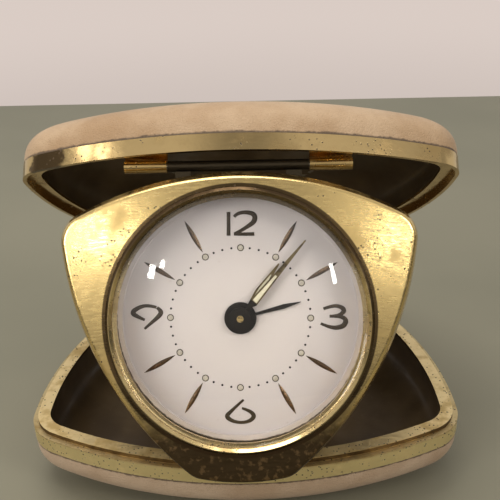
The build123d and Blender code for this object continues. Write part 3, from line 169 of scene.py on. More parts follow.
def vector_maths(tree, operation, first, second=(0, 0, 0)):
    """A step of vector maths, as a node whose outputs the caller picks from."""
    return put(tree, "ShaderNodeVectorMath", {0: first, 1: second}, operation=operation)


def colour_mix(tree, factor, first, second):
    """One colour mixed into another by a factor."""
    made = put(tree, "ShaderNodeMix", {0: factor}, data_type="RGBA")
    for index, value in ((6, first), (7, second)):
        if isinstance(value, bpy.types.NodeSocket):
            tree.links.new(value, made.inputs[index])
        else:
            made.inputs[index].default_value = (*value, 1)
    return made.outputs[2]


def span(tree, value, low, high, new_low=0.0, new_high=1.0):
    """A number moved smoothly from one span to another, and held at its ends."""
    made = put(tree, "ShaderNodeMapRange", {
        "Value": value, "From Min": low, "From Max": high, "To Min": new_low, "To Max": new_high,
    }, interpolation_type="SMOOTHSTEP")
    return made.outputs["Result"]


def noise(tree, where, grain, detail=3.0, rough=0.5):
    """Cloudy noise whose blotches are about a grain, in millimetres, across."""
    made = put(tree, "ShaderNodeTexNoise", {
        "Vector": where, "Scale": 1 / (grain * MM), "Detail": detail, "Roughness": rough,
    })
    return made.outputs["Fac"]


def cells(tree, where, grain, feature="F1"):
    """Distances to scattered points that lie about a grain, in millimetres, apart."""
    made = put(tree, "ShaderNodeTexVoronoi", {"Vector": where, "Scale": 1 / (grain * MM)}, feature=feature)
    return made.outputs["Distance"]


def finish_of(name):
    """A new material: its tree, its Principled shader and the piece's own coordinates."""
    material = bpy.data.materials.new(name)
    material.use_nodes = True
    tree = material.node_tree
    where = put(tree, "ShaderNodeTexCoord").outputs["Object"]
    return material, tree, tree.nodes["Principled BSDF"], where


def bump(tree, shader, height, depth):
    """Relief of a depth in millimetres."""
    made = put(tree, "ShaderNodeBump", {"Height": height, "Distance": depth * MM, "Strength": 1.0})
    tree.links.new(made.outputs["Normal"], shader.inputs["Normal"])


# %% [markdown]
# ## Brass that has been carried in suitcases
# The rims, the shield and the bezel are lacquered brass. Where the lacquer has worn
# through, the metal has gone brown in clouds and black in specks. Dirt also lies where a
# cloth doesn't reach, on the clock's lower end. Round the bezel, on the shield and on the
# bezel's outer part, lie grime and painted shade, and the bezel's top gets painted shade.
# The base rim's lip wall gets painted shade over a painted highlight on the band below
# it, and the lid's band has a painted dark reflection at its left end. All of it could be
# painted on an unwrapped map, but noise and distances in the piece's own space have no
# seams and stay sharp close up. One function makes the worn metal. Each kind of dirt,
# painted shade or painted highlight is a share between 0 and 1 that a small function of
# its own works out, so a piece takes only what it needs.

# %% Colours of the brass and its dirt
GOLD = (0.80, 0.585, 0.245)
OLD_GOLD = (0.46, 0.32, 0.12)
# A pale gold for a painted highlight
PAINTED_HIGHLIGHT_GOLD = (1.0, 0.84, 0.46)
SPECK_BLACK = (0.03, 0.018, 0.01)
# Brown and its share for grime with painted shade
SHADE_AND_GRIME_BROWN = (0.075, 0.045, 0.022)
# Brown for a painted shade on a piece's top
SHADED_TOP_BROWN = (0.13, 0.085, 0.04)
TOE_STAINS = ((0.045, 0.026, 0.016), (0.20, 0.12, 0.06))
SHADE_AND_GRIME_SHARE = 0.93
print("gold", GOLD, "wears to", OLD_GOLD)


# %% Where dirt lies on the brass
def up_the_dial(tree, where, levels):
    """How far up the dial's slope a point lies, and where two levels over its middle lie."""
    height = vector_maths(tree, "DOT_PRODUCT", where, tuple(dial_up)).outputs["Value"]
    return height, [dial_centre.dot(dial_up) + level * MM for level in levels]


def stained_toe(tree, where, toe):
    """A share that is full at the clock's lower end and has a ragged edge."""
    height, (low, high) = up_the_dial(tree, where, (-16.5, -7.0))
    ragged = times(tree, noise(tree, where, 3.0, 5, 0.65), 9 * MM)
    return span(tree, maths(tree, "ADD", height, ragged), low, high, toe, 0.0)


def near_spot(tree, where, spot, reach):
    """A ragged share round a spot."""
    away = vector_maths(tree, "DISTANCE", where, tuple(spot)).outputs["Value"]
    ragged = times(tree, noise(tree, where, 2.0, 5, 0.7), 6 * MM)
    return span(tree, maths(tree, "ADD", away, ragged), reach * MM, (reach + 1.5) * MM, 0.9, 0.0)


def round_the_axis(tree, where, inner, outer):
    """A share that is full between two radii round the dial's axis."""
    offset = vector_maths(tree, "SUBTRACT", where, tuple(dial_centre)).outputs[0]
    off_axis = vector_maths(tree, "CROSS_PRODUCT", offset, tuple(dial_axis)).outputs[0]
    radius = vector_maths(tree, "LENGTH", off_axis).outputs["Value"]
    return times(tree, span(tree, radius, inner * MM, (inner + 0.12) * MM),
                 span(tree, radius, outer * MM, (outer + 0.2) * MM, 1.0, 0.0))


def between_levels(tree, level, low, high):
    """A share that is full between two heights over the table."""
    return times(tree, span(tree, level, low * MM, (low + 0.1) * MM),
                 span(tree, level, high * MM, (high + 0.06) * MM, 1.0, 0.0))


# %% Worn brass
def worn_brass(name, bright, dull, rough=0.2, cloud=0.35, speck=0.4, cloud_size=9.0,
               toe=0.0, crown=0.0, ring=None, lip_shade_and_highlight=None, dark_reflection_at=None):
    """Brass with clouds and specks, and perhaps a dark toe, a painted shade on the top, a ring of grime and
    painted shade, painted shade on a lip over a painted highlight, or a painted dark reflection at a spot.
    """
    material, tree, shader, where = finish_of(name)
    clouds = span(tree, noise(tree, where, cloud_size, 4), 0.62 - cloud * 0.4, 0.80 - cloud * 0.3)
    patches = span(tree, noise(tree, where, 2.2, 4, 0.6), 0.45, 0.75, 0.0, cloud)
    dulled = maths(tree, "MAXIMUM", clouds, patches)
    colour = colour_mix(tree, times(tree, dulled, 0.75), bright, dull)
    rarely = span(tree, noise(tree, where, 5.0, 2), 0.66 - speck * 0.3, 0.76 - speck * 0.3)
    spots = times(tree, span(tree, cells(tree, where, 0.75), 0.13, 0.26, 1.0, 0.0), rarely)
    # Painted shade: the top of the piece, up the dial's slope, is browned
    if crown:
        height, (low, high) = up_the_dial(tree, where, (3, 13))
        colour = colour_mix(tree, span(tree, height, low, high, 0.0, crown), colour, SHADED_TOP_BROWN)
    if toe:
        stained = stained_toe(tree, where, toe)
        blotches = span(tree, noise(tree, where, 0.9, 4), 0.52, 0.70)
        colour = colour_mix(tree, stained, colour, colour_mix(tree, blotches, *TOE_STAINS))
        spots = times(tree, spots, rest_of(tree, stained))
        dulled = maths(tree, "MAXIMUM", dulled, stained)
    colour = colour_mix(tree, spots, colour, SPECK_BLACK)
    # A painted dark reflection, ragged, round a spot
    if dark_reflection_at:
        colour = colour_mix(tree, near_spot(tree, where, dark_reflection_at, 6.0), colour, SHADE_AND_GRIME_BROWN)
    # Grime and painted shade in a ring round the dial's axis
    if ring:
        shade_and_grime = times(tree, round_the_axis(tree, where, *ring), SHADE_AND_GRIME_SHARE)
        colour = colour_mix(tree, shade_and_grime, colour, SHADE_AND_GRIME_BROWN)
    # Painted shade on the lip wall between two heights, and a painted highlight on the band just below it
    if lip_shade_and_highlight:
        level = put(tree, "ShaderNodeSeparateXYZ", {"Vector": where}).outputs["Z"]
        band = span(tree, level, (lip_shade_and_highlight[0] - 0.5) * MM, lip_shade_and_highlight[0] * MM, 0.7, 0.0)
        colour = colour_mix(tree, times(tree, band, rest_of(tree, spots)), colour, PAINTED_HIGHLIGHT_GOLD)
        shade_and_grime = times(tree, between_levels(tree, level, *lip_shade_and_highlight), SHADE_AND_GRIME_SHARE)
        colour = colour_mix(tree, shade_and_grime, colour, SHADE_AND_GRIME_BROWN)
    tree.links.new(colour, shader.inputs["Base Color"])
    tree.links.new(rest_of(tree, times(tree, spots, 0.8)), shader.inputs["Metallic"])
    along_scratches = put(tree, "ShaderNodeMapping", {
        "Vector": where, "Scale": (1, 14, 6), "Rotation": (0.3, 0.4, 0.7),
    }).outputs["Vector"]
    scratched = span(tree, noise(tree, along_scratches, 2.5, 3), 0.3, 0.7, rough * 0.75, rough * 1.25)
    roughness = maths(tree, "ADD", scratched, times(tree, dulled, 0.24))
    roughness = maths(tree, "ADD", roughness, times(tree, spots, 0.4), clamp=True)
    tree.links.new(roughness, shader.inputs["Roughness"])
    relief = maths(tree, "ADD", times(tree, noise(tree, where, 1.6, 3), 0.7), times(tree, spots, -0.6))
    bump(tree, shader, relief, 0.02)
    return material


# %% The brasses
# Radii round the dial's axis that get grime and painted shade
ROUND_THE_BEZEL = (20.0, 22.75)
BEZEL_OUTSIDE = (21.72, 30.0)
# Heights of the base rim's lip wall that get painted shade, with a painted highlight below
LIP_SHADE_LEVELS = (13.16, 14.02)
# A spot on the lid's band with a painted dark reflection
LID_DARK_REFLECTION = half_planes["lid"] @ (Vector((-34.2, -30.5, 1.4)) * MM)
brasses = {
    "case_brass": worn_brass("case_brass", GOLD, OLD_GOLD, 0.22, 0.30, 0.50, 8.0,
                             toe=0.94, ring=ROUND_THE_BEZEL),
    # The bezel's crown is a painted shade on its top
    "bezel_brass": worn_brass("bezel_brass", (0.90, 0.68, 0.32), (0.40, 0.27, 0.11), 0.14, 0.4, 0.6, 5.0,
                              crown=0.92, ring=BEZEL_OUTSIDE),
    "base_rim_brass": worn_brass("base_rim_brass", (0.84, 0.66, 0.35), OLD_GOLD, 0.38, 0.4, 0.9, 4.0,
                                 lip_shade_and_highlight=LIP_SHADE_LEVELS),
    "lid_rim_brass": worn_brass("lid_rim_brass", (0.64, 0.46, 0.21), (0.36, 0.24, 0.10), 0.13, 0.35, 0.5,
                                7.0, dark_reflection_at=LID_DARK_REFLECTION),
    "hinge_brass": worn_brass("hinge_brass", (0.78, 0.54, 0.22), OLD_GOLD, 0.2, 0.3, 0.3, 4.0),
    "key_brass": worn_brass("key_brass", GOLD, OLD_GOLD, 0.22, 0.3, 0.3, 5.0),
    "post_brass": worn_brass("post_brass", GOLD, OLD_GOLD, 0.25, 0.2, 0.1, 2.0),
}
print("brasses", len(brasses))

# %% [markdown]
# ## Brushed metals of the movement
# Wheels and plates are cut from sheet and brushed, and arbors and springs are steel. No
# dirt reaches them in their can, so they need only their colour and a fine brushed
# grain, which is noise stretched along one direction.


# %% Brushed metals
def brushed(name, colour, rough=0.3, grain=0.5):
    """Clean sheet metal with a fine brushed grain."""
    material, tree, shader, where = finish_of(name)
    along_grain = put(tree, "ShaderNodeMapping", {"Vector": where, "Scale": (1, 9, 9)}).outputs["Vector"]
    lines = noise(tree, along_grain, grain, 3)
    tint = colour_mix(tree, span(tree, lines, 0.3, 0.7), [c * 0.82 for c in colour], colour)
    tree.links.new(tint, shader.inputs["Base Color"])
    tree.links.new(span(tree, lines, 0.3, 0.7, rough * 0.8, rough * 1.3), shader.inputs["Roughness"])
    shader.inputs["Metallic"].default_value = 1.0
    bump(tree, shader, lines, 0.006)
    return material


metals = {
    "movement_brass": brushed("movement_brass", (0.76, 0.58, 0.28)),
    "movement_steel": brushed("movement_steel", (0.56, 0.57, 0.58), 0.22),
    "pin_steel": brushed("pin_steel", (0.60, 0.58, 0.54), 0.25),
    "bar_steel": brushed("bar_steel", (0.075, 0.058, 0.036), 0.45, 0.8),
    "can_steel": brushed("can_steel", (0.62, 0.59, 0.53), 0.32, 1.2),
    "pan_steel": brushed("pan_steel", (0.46, 0.43, 0.38), 0.4, 2.0),
    "screw_steel": brushed("screw_steel", (0.64, 0.64, 0.63), 0.2, 0.3),
    "spring_steel": brushed("spring_steel", (0.22, 0.27, 0.42), 0.25, 0.3),
}
print("metals", len(metals))

# %% [markdown]
# ## The dial's own finishes
# The dial and the ring round it are silvery white, a touch greyer near the edge and
# painted dark for shade right at the bezel. The hands' blades are dark gilt with their
# roots painted black, and hold a pale luminous filling. A distance from the middle of the
# dial is all that such rings need, so no image is painted.


# %% Dial, hands and crystal
def from_centre(tree, where):
    """How far a point lies from the middle of the dial."""
    return vector_maths(tree, "DISTANCE", where, tuple(dial_centre)).outputs["Value"]


def dial_white():
    """Satin white that greys towards the edge, with a fine tooth and a painted shade at the bezel."""
    material, tree, shader, where = finish_of("dial_white")
    radius = from_centre(tree, where)
    colour = colour_mix(tree, span(tree, radius, 6 * MM, 20.5 * MM),
                        (0.66, 0.595, 0.555), (0.53, 0.485, 0.475))
    blot = span(tree, noise(tree, where, 6.0, 3), 0.35, 0.75, 0.0, 0.10)
    colour = colour_mix(tree, blot, colour, (0.55, 0.48, 0.42))
    dust = span(tree, cells(tree, where, 2.6), 0.030, 0.045, 0.55, 0.0)
    colour = colour_mix(tree, dust, colour, (0.30, 0.22, 0.16))
    # Painted shade: the dial goes dark, with a ragged edge, where the bezel stands over it
    ragged = times(tree, noise(tree, where, 1.1, 5, 0.7), 0.7 * MM)
    shade_at_bezel = span(tree, maths(tree, "ADD", radius, ragged), 21.2 * MM, 21.4 * MM)
    colour = colour_mix(tree, shade_at_bezel, colour, (0.06, 0.04, 0.025))
    tree.links.new(colour, shader.inputs["Base Color"])
    shader.inputs["Roughness"].default_value = 0.5
    bump(tree, shader, noise(tree, where, 0.25, 2), 0.004)
    return material


HAND_BLACK = (0.016, 0.012, 0.008)


def hand_gilt():
    """Dark gilt blades, painted black out to a little beyond the hub."""
    material, tree, shader, where = finish_of("hand_gilt")
    black_root = span(tree, from_centre(tree, where), 3.9 * MM, 4.1 * MM, 1.0, 0.0)
    gilt = colour_mix(tree, span(tree, noise(tree, where, 1.2, 3), 0.4, 0.7),
                      (0.26, 0.19, 0.08), (0.09, 0.06, 0.025))
    tree.links.new(colour_mix(tree, black_root, gilt, HAND_BLACK), shader.inputs["Base Color"])
    shader.inputs["Specular IOR Level"].default_value = 0.2
    tree.links.new(span(tree, black_root, 0, 1, 1.0, 0.25), shader.inputs["Metallic"])
    shader.inputs["Roughness"].default_value = 0.32
    bump(tree, shader, noise(tree, where, 0.4, 2), 0.005)
    return material


def painted(name, colour, rough, grain=0.4, spread=0.35, depth=0.006, shine=0.5):
    """Paint or enamel with a little unevenness."""
    material, tree, shader, where = finish_of(name)
    uneven = span(tree, noise(tree, where, grain, 4), 0.35, 0.7, 0.0, spread)
    tint = colour_mix(tree, uneven, colour, [c * 0.55 for c in colour])
    tree.links.new(tint, shader.inputs["Base Color"])
    shader.inputs["Roughness"].default_value = rough
    shader.inputs["Specular IOR Level"].default_value = shine
    bump(tree, shader, noise(tree, where, grain, 3), depth)
    return material


def clear_crystal():
    """Clear acrylic that lets the lamps' light through to the dial."""
    material, tree, shader, where = finish_of("crystal_acrylic")
    smears = span(tree, noise(tree, where, 7.0, 4), 0.45, 0.75, 0.02, 0.07)
    tree.links.new(smears, shader.inputs["Roughness"])
    shader.inputs["Base Color"].default_value = (0.985, 0.985, 0.98, 1)
    shader.inputs["IOR"].default_value = 1.45
    shader.inputs["Transmission Weight"].default_value = 1.0
    shadow = put(tree, "ShaderNodeLightPath").outputs["Is Shadow Ray"]
    tree.links.new(rest_of(tree, times(tree, shadow, 0.92)), shader.inputs["Alpha"])
    bump(tree, shader, noise(tree, where, 9.0, 2), 0.008)
    return material


dial_finishes = {
    "dial_white": dial_white(),
    "hand_gilt": hand_gilt(),
    "hand_black": painted("hand_black", HAND_BLACK, 0.36, shine=0.15),
    "lume": painted("lume", (0.72, 0.66, 0.46), 0.6, 0.5, 0.3),
    "lume_spot": painted("lume_spot", (0.50, 0.45, 0.36), 0.45, 0.4, 0.35),
    "numeral_bronze": painted("numeral_bronze", (0.040, 0.026, 0.012), 0.4, 0.5, 0.4, shine=0.12),
    "print_black": painted("print_black", (0.012, 0.010, 0.009), 0.5, shine=0.1),
    "crystal_acrylic": clear_crystal(),
    "marker_bronze": brushed("marker_bronze", (0.17, 0.11, 0.065), 0.2, 0.4),
}
print("dial finishes", len(dial_finishes))

# %% [markdown]
# ## Leather and the lining
# The leather is a soft pink-beige calf: pale, rubbed browner in places, with a thin dark
# ragged line where it meets the rims, small pores and faint creases. Its grain is a few
# tenths of a millimetre, so the pattern has to be written at that size or it reads as
# plastic. The lining is dark brown and a bit glossy, with dust in it.


# %% Leather and lining
def leather(name, colour, rubbed, scuff, plane):
    """Fine-grained calf, darker where it has been handled and where it meets the rim."""
    material, tree, shader, where = finish_of(name)
    outward = plane.col[2].to_3d()
    height = vector_maths(tree, "DOT_PRODUCT", where, tuple(outward)).outputs["Value"]
    ragged = times(tree, noise(tree, where, 1.3, 4, 0.65), -0.9 * MM)
    ledge = plane.translation.dot(outward) + 2.75 * MM
    at_rim = span(tree, maths(tree, "ADD", height, ragged), ledge, ledge + 0.4 * MM, 0.85, 0.0)
    broad = span(tree, noise(tree, where, 16.0, 4, 0.6), 0.38, 0.68)
    tint = colour_mix(tree, broad, colour, rubbed)
    mottle = span(tree, noise(tree, where, 1.8, 5, 0.65), 0.45, 0.75, 0.0, 0.4)
    tint = colour_mix(tree, mottle, tint, rubbed)
    along_scuffs = put(tree, "ShaderNodeMapping", {
        "Vector": where, "Scale": (0.35, 1, 1), "Rotation": (0, 0.2, 0.15),
    }).outputs["Vector"]
    marks = span(tree, noise(tree, along_scuffs, 3.2, 6, 0.7), 0.64, 0.76, 0.0, scuff)
    tint = colour_mix(tree, marks, tint, (0.16, 0.095, 0.055))
    pores = span(tree, cells(tree, where, 0.42), 0.05, 0.30, 0.35, 0.0)
    tint = colour_mix(tree, pores, tint, [c * 0.5 for c in rubbed])
    tint = colour_mix(tree, at_rim, tint, (0.055, 0.035, 0.02))
    tree.links.new(tint, shader.inputs["Base Color"])
    tree.links.new(span(tree, mottle, 0.0, 0.4, 0.62, 0.48), shader.inputs["Roughness"])
    shader.inputs["Specular IOR Level"].default_value = 0.4
    shader.inputs["Sheen Weight"].default_value = 0.08
    creases = cells(tree, where, 0.55, "DISTANCE_TO_EDGE")
    grain = maths(tree, "ADD", span(tree, creases, 0.0, 0.25), times(tree, marks, -0.8))
    grain = maths(tree, "ADD", grain, times(tree, noise(tree, where, 2.5, 3), 0.8))
    bump(tree, shader, grain, 0.035)
    return material


def dark_lining():
    """Dark brown lacquered lining with dust and faint wipes."""
    material, tree, shader, where = finish_of("dark_lining")
    broad = span(tree, noise(tree, where, 12.0, 4), 0.4, 0.7)
    tint = colour_mix(tree, broad, (0.088, 0.056, 0.026), (0.150, 0.100, 0.050))
    dust = span(tree, cells(tree, where, 1.7), 0.035, 0.06, 0.5, 0.0)
    tint = colour_mix(tree, dust, tint, (0.32, 0.26, 0.18))
    tree.links.new(tint, shader.inputs["Base Color"])
    tree.links.new(span(tree, noise(tree, where, 5.0, 5), 0.35, 0.7, 0.28, 0.5), shader.inputs["Roughness"])
    bump(tree, shader, noise(tree, where, 1.1, 4), 0.02)
    return material


leathers = {
    "base": leather("base_leather", (0.56, 0.41, 0.28), (0.43, 0.29, 0.18), 0.35, half_planes["base"]),
    "lid": leather("lid_leather", (0.53, 0.37, 0.225), (0.40, 0.25, 0.13), 0.75, half_planes["lid"]),
}
lining = dark_lining()
print("leathers", list(leathers))

# %% [markdown]
# ## Dressing the CAD pieces
# A CAD piece whose shape is right only needs its finish. Assigning a material to its
# slots leaves its mesh alone, so it stays exactly where the CAD put it.

# %% Finishes for the CAD pieces
wears = {
    "case_brass": ("front_case", "back_plate"),
    "bezel_brass": ("bezel",),
    "base_rim_brass": ("base_rim",),
    "lid_rim_brass": ("lid_rim",),
    "hinge_brass": ("front_knuckles", "base_knuckle", "lid_knuckles"),
    "bar_steel": ("clock_bar",),
    "key_brass": ("time_key", "alarm_key", "hand_set_knob", "alarm_set_knob", "alarm_stop"),
    "post_brass": ("cannon_pinion", "centre_arbor"),
    "movement_brass": (
        "front_plate", "rear_plate", "pillars", "time_main_wheel", "centre_wheel", "third_wheel",
        "fourth_wheel", "escape_wheel", "balance_wheel", "minute_wheel", "hour_wheel", "alarm_wheel",
        "alarm_main_wheel", "alarm_star_wheel",
    ),
    "movement_steel": (
        "time_arbor", "alarm_arbor", "pallet_fork", "alarm_hammer", "regulator", "alarm_set_arbor",
    ),
    "pin_steel": ("rear_hinge_pin", "front_hinge_pin"),
    "can_steel": ("back_can",),
    "pan_steel": ("base_pan", "lid_pan"),
    "screw_steel": ("case_screws", "pillar_screws"),
    "spring_steel": ("hairspring", "time_mainspring", "alarm_mainspring"),
    "dial_white": ("dial", "dial_ring"),
    "hand_gilt": ("minute_hand", "hour_hand"),
    "lume": ("minute_lume", "hour_lume"),
    "hand_black": ("alarm_hand",),
    "crystal_acrylic": ("crystal",),
}
finishes = {**brasses, **metals, **dial_finishes}
for finish, names in wears.items():
    for name in names:
        nodes[name].data.materials.clear()
        nodes[name].data.materials.append(finishes[finish])
print("dressed", sum(len(names) for names in wears.values()), "CAD pieces")

# %% [markdown]
# ## Growing pieces from a tree
# Geometry Nodes suit what repeats and what follows a rule. A tree is built once with
# named inputs, run on an empty host, and its result is kept as a plain mesh, because
# the finished model is meant to hold no live modifiers.


# %% Helpers for geometry trees
def geometry_tree(name, fields):
    """A new geometry tree with named inputs, and its group input node."""
    tree = bpy.data.node_groups.new(name, "GeometryNodeTree")
    tree.interface.new_socket(name="Geometry", in_out="INPUT", socket_type="NodeSocketGeometry")
    for field, kind in fields:
        tree.interface.new_socket(name=field, in_out="INPUT", socket_type="NodeSocket" + kind)
    tree.interface.new_socket(name="Geometry", in_out="OUTPUT", socket_type="NodeSocketGeometry")
    return tree, tree.nodes.new("NodeGroupInput").outputs


def end_tree(tree, geometry, material):
    """Ends a tree in real geometry that wears a material."""
    real = put(tree, "GeometryNodeRealizeInstances", {"Geometry": geometry}).outputs[0]
    dressed = put(tree, "GeometryNodeSetMaterial", {"Geometry": real, "Material": material}).outputs[0]
    put(tree, "NodeGroupOutput", {"Geometry": dressed})


def grow(tree, values, data=None):
    """Runs a tree with named values and returns its result as a plain mesh."""
    host = bpy.data.objects.new("host", data or bpy.data.meshes.new("empty"))
    bpy.context.scene.collection.objects.link(host)
    modifier = host.modifiers.new("tree", "NODES")
    modifier.node_group = tree
    for item in tree.interface.items_tree:
        if item.in_out == "INPUT" and item.name in values:
            modifier[item.identifier] = values[item.name]
    evaluated = host.evaluated_get(bpy.context.evaluated_depsgraph_get())
    mesh = bpy.data.meshes.new_from_object(evaluated)
    bpy.data.objects.remove(host)
    return mesh


def piece(name, mesh, matrix, body, sharp=40):
    """Carries a mesh to its plane, smooths it and lets it ride on a body."""
    mesh.name = name
    mesh.transform(matrix)
    mesh.shade_smooth()
    mesh.set_sharp_from_angle(angle=math.radians(sharp))
    made = bpy.data.objects.new(name, mesh)
    bpy.context.scene.collection.objects.link(made)
    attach(made, body)
    return made


def set_aside(name, mesh):
    """An object that a tree copies, and which is thrown away after that."""
    made = bpy.data.objects.new(name, mesh)
    bpy.context.scene.collection.objects.link(made)
    return made


# %% [markdown]
# ## The outline of the case
# Seen from above, each half is a rounded triangle of four arcs a side. Joining them by
# eye never runs smoothly. Each arc touches the next where both have the same direction,
# so the bounds of an arc are the directions between neighbouring centres.

# %% Outline of a case half
CASE_WIDTH = 81.0 * MM
CASE_LENGTH = 77.0 * MM
FRONT_R = 79.5 * MM
SIDE_R = 67.0 * MM
CORNER_R = 8.45 * MM
REAR_R = 14.1 * MM
ARC_STEP = 0.3 * MM


def case_arcs():
    """Centres and radii of the right half of the outline, from front to back."""
    front = Vector((0, FRONT_R - CASE_LENGTH / 2))
    corner_x = CASE_WIDTH / 2 - CORNER_R
    corner = Vector((corner_x, front.y - math.sqrt((FRONT_R - CORNER_R) ** 2 - corner_x**2)))
    rear = Vector((0, CASE_LENGTH / 2 - REAR_R))
    reach, rear_reach = SIDE_R - CORNER_R, SIDE_R - REAR_R
    gap = (rear - corner).length
    along = (reach**2 - rear_reach**2 + gap**2) / (2 * gap)
    way = (rear - corner) / gap
    side = corner + way * along + Vector((-way.y, way.x)) * math.sqrt(reach**2 - along**2)
    return [(front, FRONT_R), (corner, CORNER_R), (side, SIDE_R), (rear, REAR_R)]


def outline_curve(inset):
    """The whole outline, drawn in by an inset, as a closed curve."""
    arcs = case_arcs()
    bounds = [-math.pi / 2]
    for (centre, radius), (next_centre, next_radius) in zip(arcs, arcs[1:]):
        way = next_centre - centre if radius > next_radius else centre - next_centre
        bounds.append(math.atan2(way.y, way.x))
    bounds.append(math.pi / 2)
    half = []
    for (centre, radius), start, stop in zip(arcs, bounds, bounds[1:]):
        steps = max(2, round(radius * (stop - start) / ARC_STEP))
        for index in range(steps):
            angle = start + (stop - start) * index / steps
            half.append(centre + Vector((math.cos(angle), math.sin(angle))) * (radius - inset))
    half.append(Vector((0, CASE_LENGTH / 2 - inset)))
    points = half + [Vector((-p.x, p.y)) for p in reversed(half[1:-1])]
    curve = bpy.data.curves.new("outline", "CURVE")
    curve.dimensions = "3D"
    spline = curve.splines.new("POLY")
    spline.points.add(len(points) - 1)
    for point, target in zip(points, spline.points):
        target.co = (point.x, point.y, 0, 1)
    spline.use_cyclic_u = True
    return curve


print("arcs in half an outline", len(case_arcs()))

# %% [markdown]
# ## The domes
# A half rises from its band as a super-ellipse: steep at the rim, nearly flat on top. It
# could be sculpted, but then leather and lining would never quite agree. Instead a plain
# grid becomes the dome when each of its points is moved: one side of the grid says how
# far round the outline it lies, and the other how far up the profile. The same tree
# makes the leather outside and the lining inside. Solidify gives both their wall, and
# the leather's first row is drawn in a little, because it is tucked behind the rim.

# %% A tree for the domes
BAND_H = 3.0 * MM
DOME_H = 10.2 * MM
DOME_RUN = 25.0 * MM
DOME_POWER_SHARE = 2 / 2.8
WALL_SHARE = 0.12
DOME_SHARE = 0.83
ROWS = 72
ROUND = 300

dome_tree, dome_in = geometry_tree("dome", (
    ("Outline", "Object"), ("Start", "Float"), ("Rise", "Float"), ("Tuck", "Float"),
    ("Finish", "Material"),
))
grid = put(dome_tree, "GeometryNodeMeshGrid", {
    "Size X": 1.0, "Size Y": 1.0, "Vertices X": ROWS, "Vertices Y": ROUND,
}).outputs["Mesh"]
spot = put(dome_tree, "ShaderNodeSeparateXYZ", {
    "Vector": put(dome_tree, "GeometryNodeInputPosition").outputs[0],
}).outputs
climb = maths(dome_tree, "ADD", spot["X"], 0.5)
around = maths(dome_tree, "ADD", spot["Y"], 0.5)
line = put(dome_tree, "GeometryNodeObjectInfo", {"Object": dome_in["Outline"]}).outputs["Geometry"]
on_line = put(dome_tree, "GeometryNodeSampleCurve", {
    "Curves": line, "Factor": around,
}, mode="FACTOR").outputs["Position"]


def part_of(start, stop):
    """How far the climb has come between two shares of it."""
    through = maths(dome_tree, "SUBTRACT", climb, start)
    return maths(dome_tree, "DIVIDE", through, stop - start, clamp=True)


wall = part_of(0.0, WALL_SHARE)
turn = times(dome_tree, part_of(WALL_SHARE, DOME_SHARE), math.pi / 2)
crown = part_of(DOME_SHARE, 1.0)
lift = maths(dome_tree, "POWER", maths(dome_tree, "SINE", turn), DOME_POWER_SHARE)
run = maths(dome_tree, "POWER", maths(dome_tree, "ABSOLUTE", maths(dome_tree, "COSINE", turn)),
            DOME_POWER_SHARE)
drawn = times(dome_tree, rest_of(dome_tree, run), DOME_RUN / (CASE_WIDTH / 2))
share = times(dome_tree, rest_of(dome_tree, drawn), rest_of(dome_tree, crown))
below = rest_of(dome_tree, part_of(0.0, WALL_SHARE * 2))
tucked = times(dome_tree, times(dome_tree, below, below), dome_in["Tuck"])
share = times(dome_tree, share, rest_of(dome_tree, tucked))
straight = times(dome_tree, wall, maths(dome_tree, "SUBTRACT", BAND_H, dome_in["Start"]))
height = maths(dome_tree, "ADD", dome_in["Start"], straight)
height = maths(dome_tree, "ADD", height, times(dome_tree, lift, dome_in["Rise"]))
flat = put(dome_tree, "ShaderNodeVectorMath", {0: on_line, "Scale": share}, operation="SCALE").outputs[0]
raised = put(dome_tree, "ShaderNodeVectorMath", {
    0: flat, 1: put(dome_tree, "ShaderNodeCombineXYZ", {"Z": height}).outputs[0],
}, operation="ADD").outputs[0]
shaped = put(dome_tree, "GeometryNodeSetPosition", {"Geometry": grid, "Position": raised}).outputs[0]
closed = put(dome_tree, "GeometryNodeMergeByDistance", {
    "Geometry": shaped, "Distance": 0.01 * MM,
}).outputs[0]
end_tree(dome_tree, closed, dome_in["Finish"])


def dome_mesh(inset, start, thickness, tuck, material):
    """A dome with a wall of a thickness inwards."""
    line_object = set_aside("outline", outline_curve(inset))
    mesh = grow(dome_tree, {
        "Outline": line_object, "Start": start, "Rise": DOME_H - inset, "Tuck": tuck, "Finish": material,
    })
    bpy.data.objects.remove(line_object)
    form = bmesh.new()
    form.from_mesh(mesh)
    bmesh.ops.remove_doubles(form, verts=form.verts, dist=0.005 * MM)
    bmesh.ops.recalc_face_normals(form, faces=form.faces)
    top = max(form.faces, key=lambda face: face.calc_center_median().z)
    if top.normal.z < 0:
        bmesh.ops.reverse_faces(form, faces=form.faces)
    form.to_mesh(mesh)
    form.free()
    shell = set_aside("shell", mesh)
    walls = shell.modifiers.new("wall", "SOLIDIFY")
    walls.thickness = thickness
    walls.offset = -1
    solid = bpy.data.meshes.new_from_object(shell.evaluated_get(bpy.context.evaluated_depsgraph_get()))
    bpy.data.objects.remove(shell)
    return solid


print("dome tree", len(dome_tree.nodes), "nodes")

# %% Leather covers and linings
COVER_T = 0.85 * MM
LINING_INSET = 1.5 * MM
LINING_T = 0.4 * MM
LINING_STARTS = {"base": 0.6 * MM, "lid": 1.7 * MM}
LEATHER_START = 2.95 * MM
LEATHER_TUCK_SHARE = 0.009

for half, plane in half_planes.items():
    cover = piece(
        f"{half}_leather", dome_mesh(0.0, LEATHER_START, COVER_T, LEATHER_TUCK_SHARE, leathers[half]),
        plane, half, 60,
    )
    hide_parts(f"{half}_cover")
    inside = piece(
        f"{half}_lining_shell", dome_mesh(LINING_INSET, LINING_STARTS[half], LINING_T, 0.0, lining),
        plane, half, 60,
    )
    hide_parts(f"{half}_lining")
    print(half, "leather", len(cover.data.polygons), "faces")

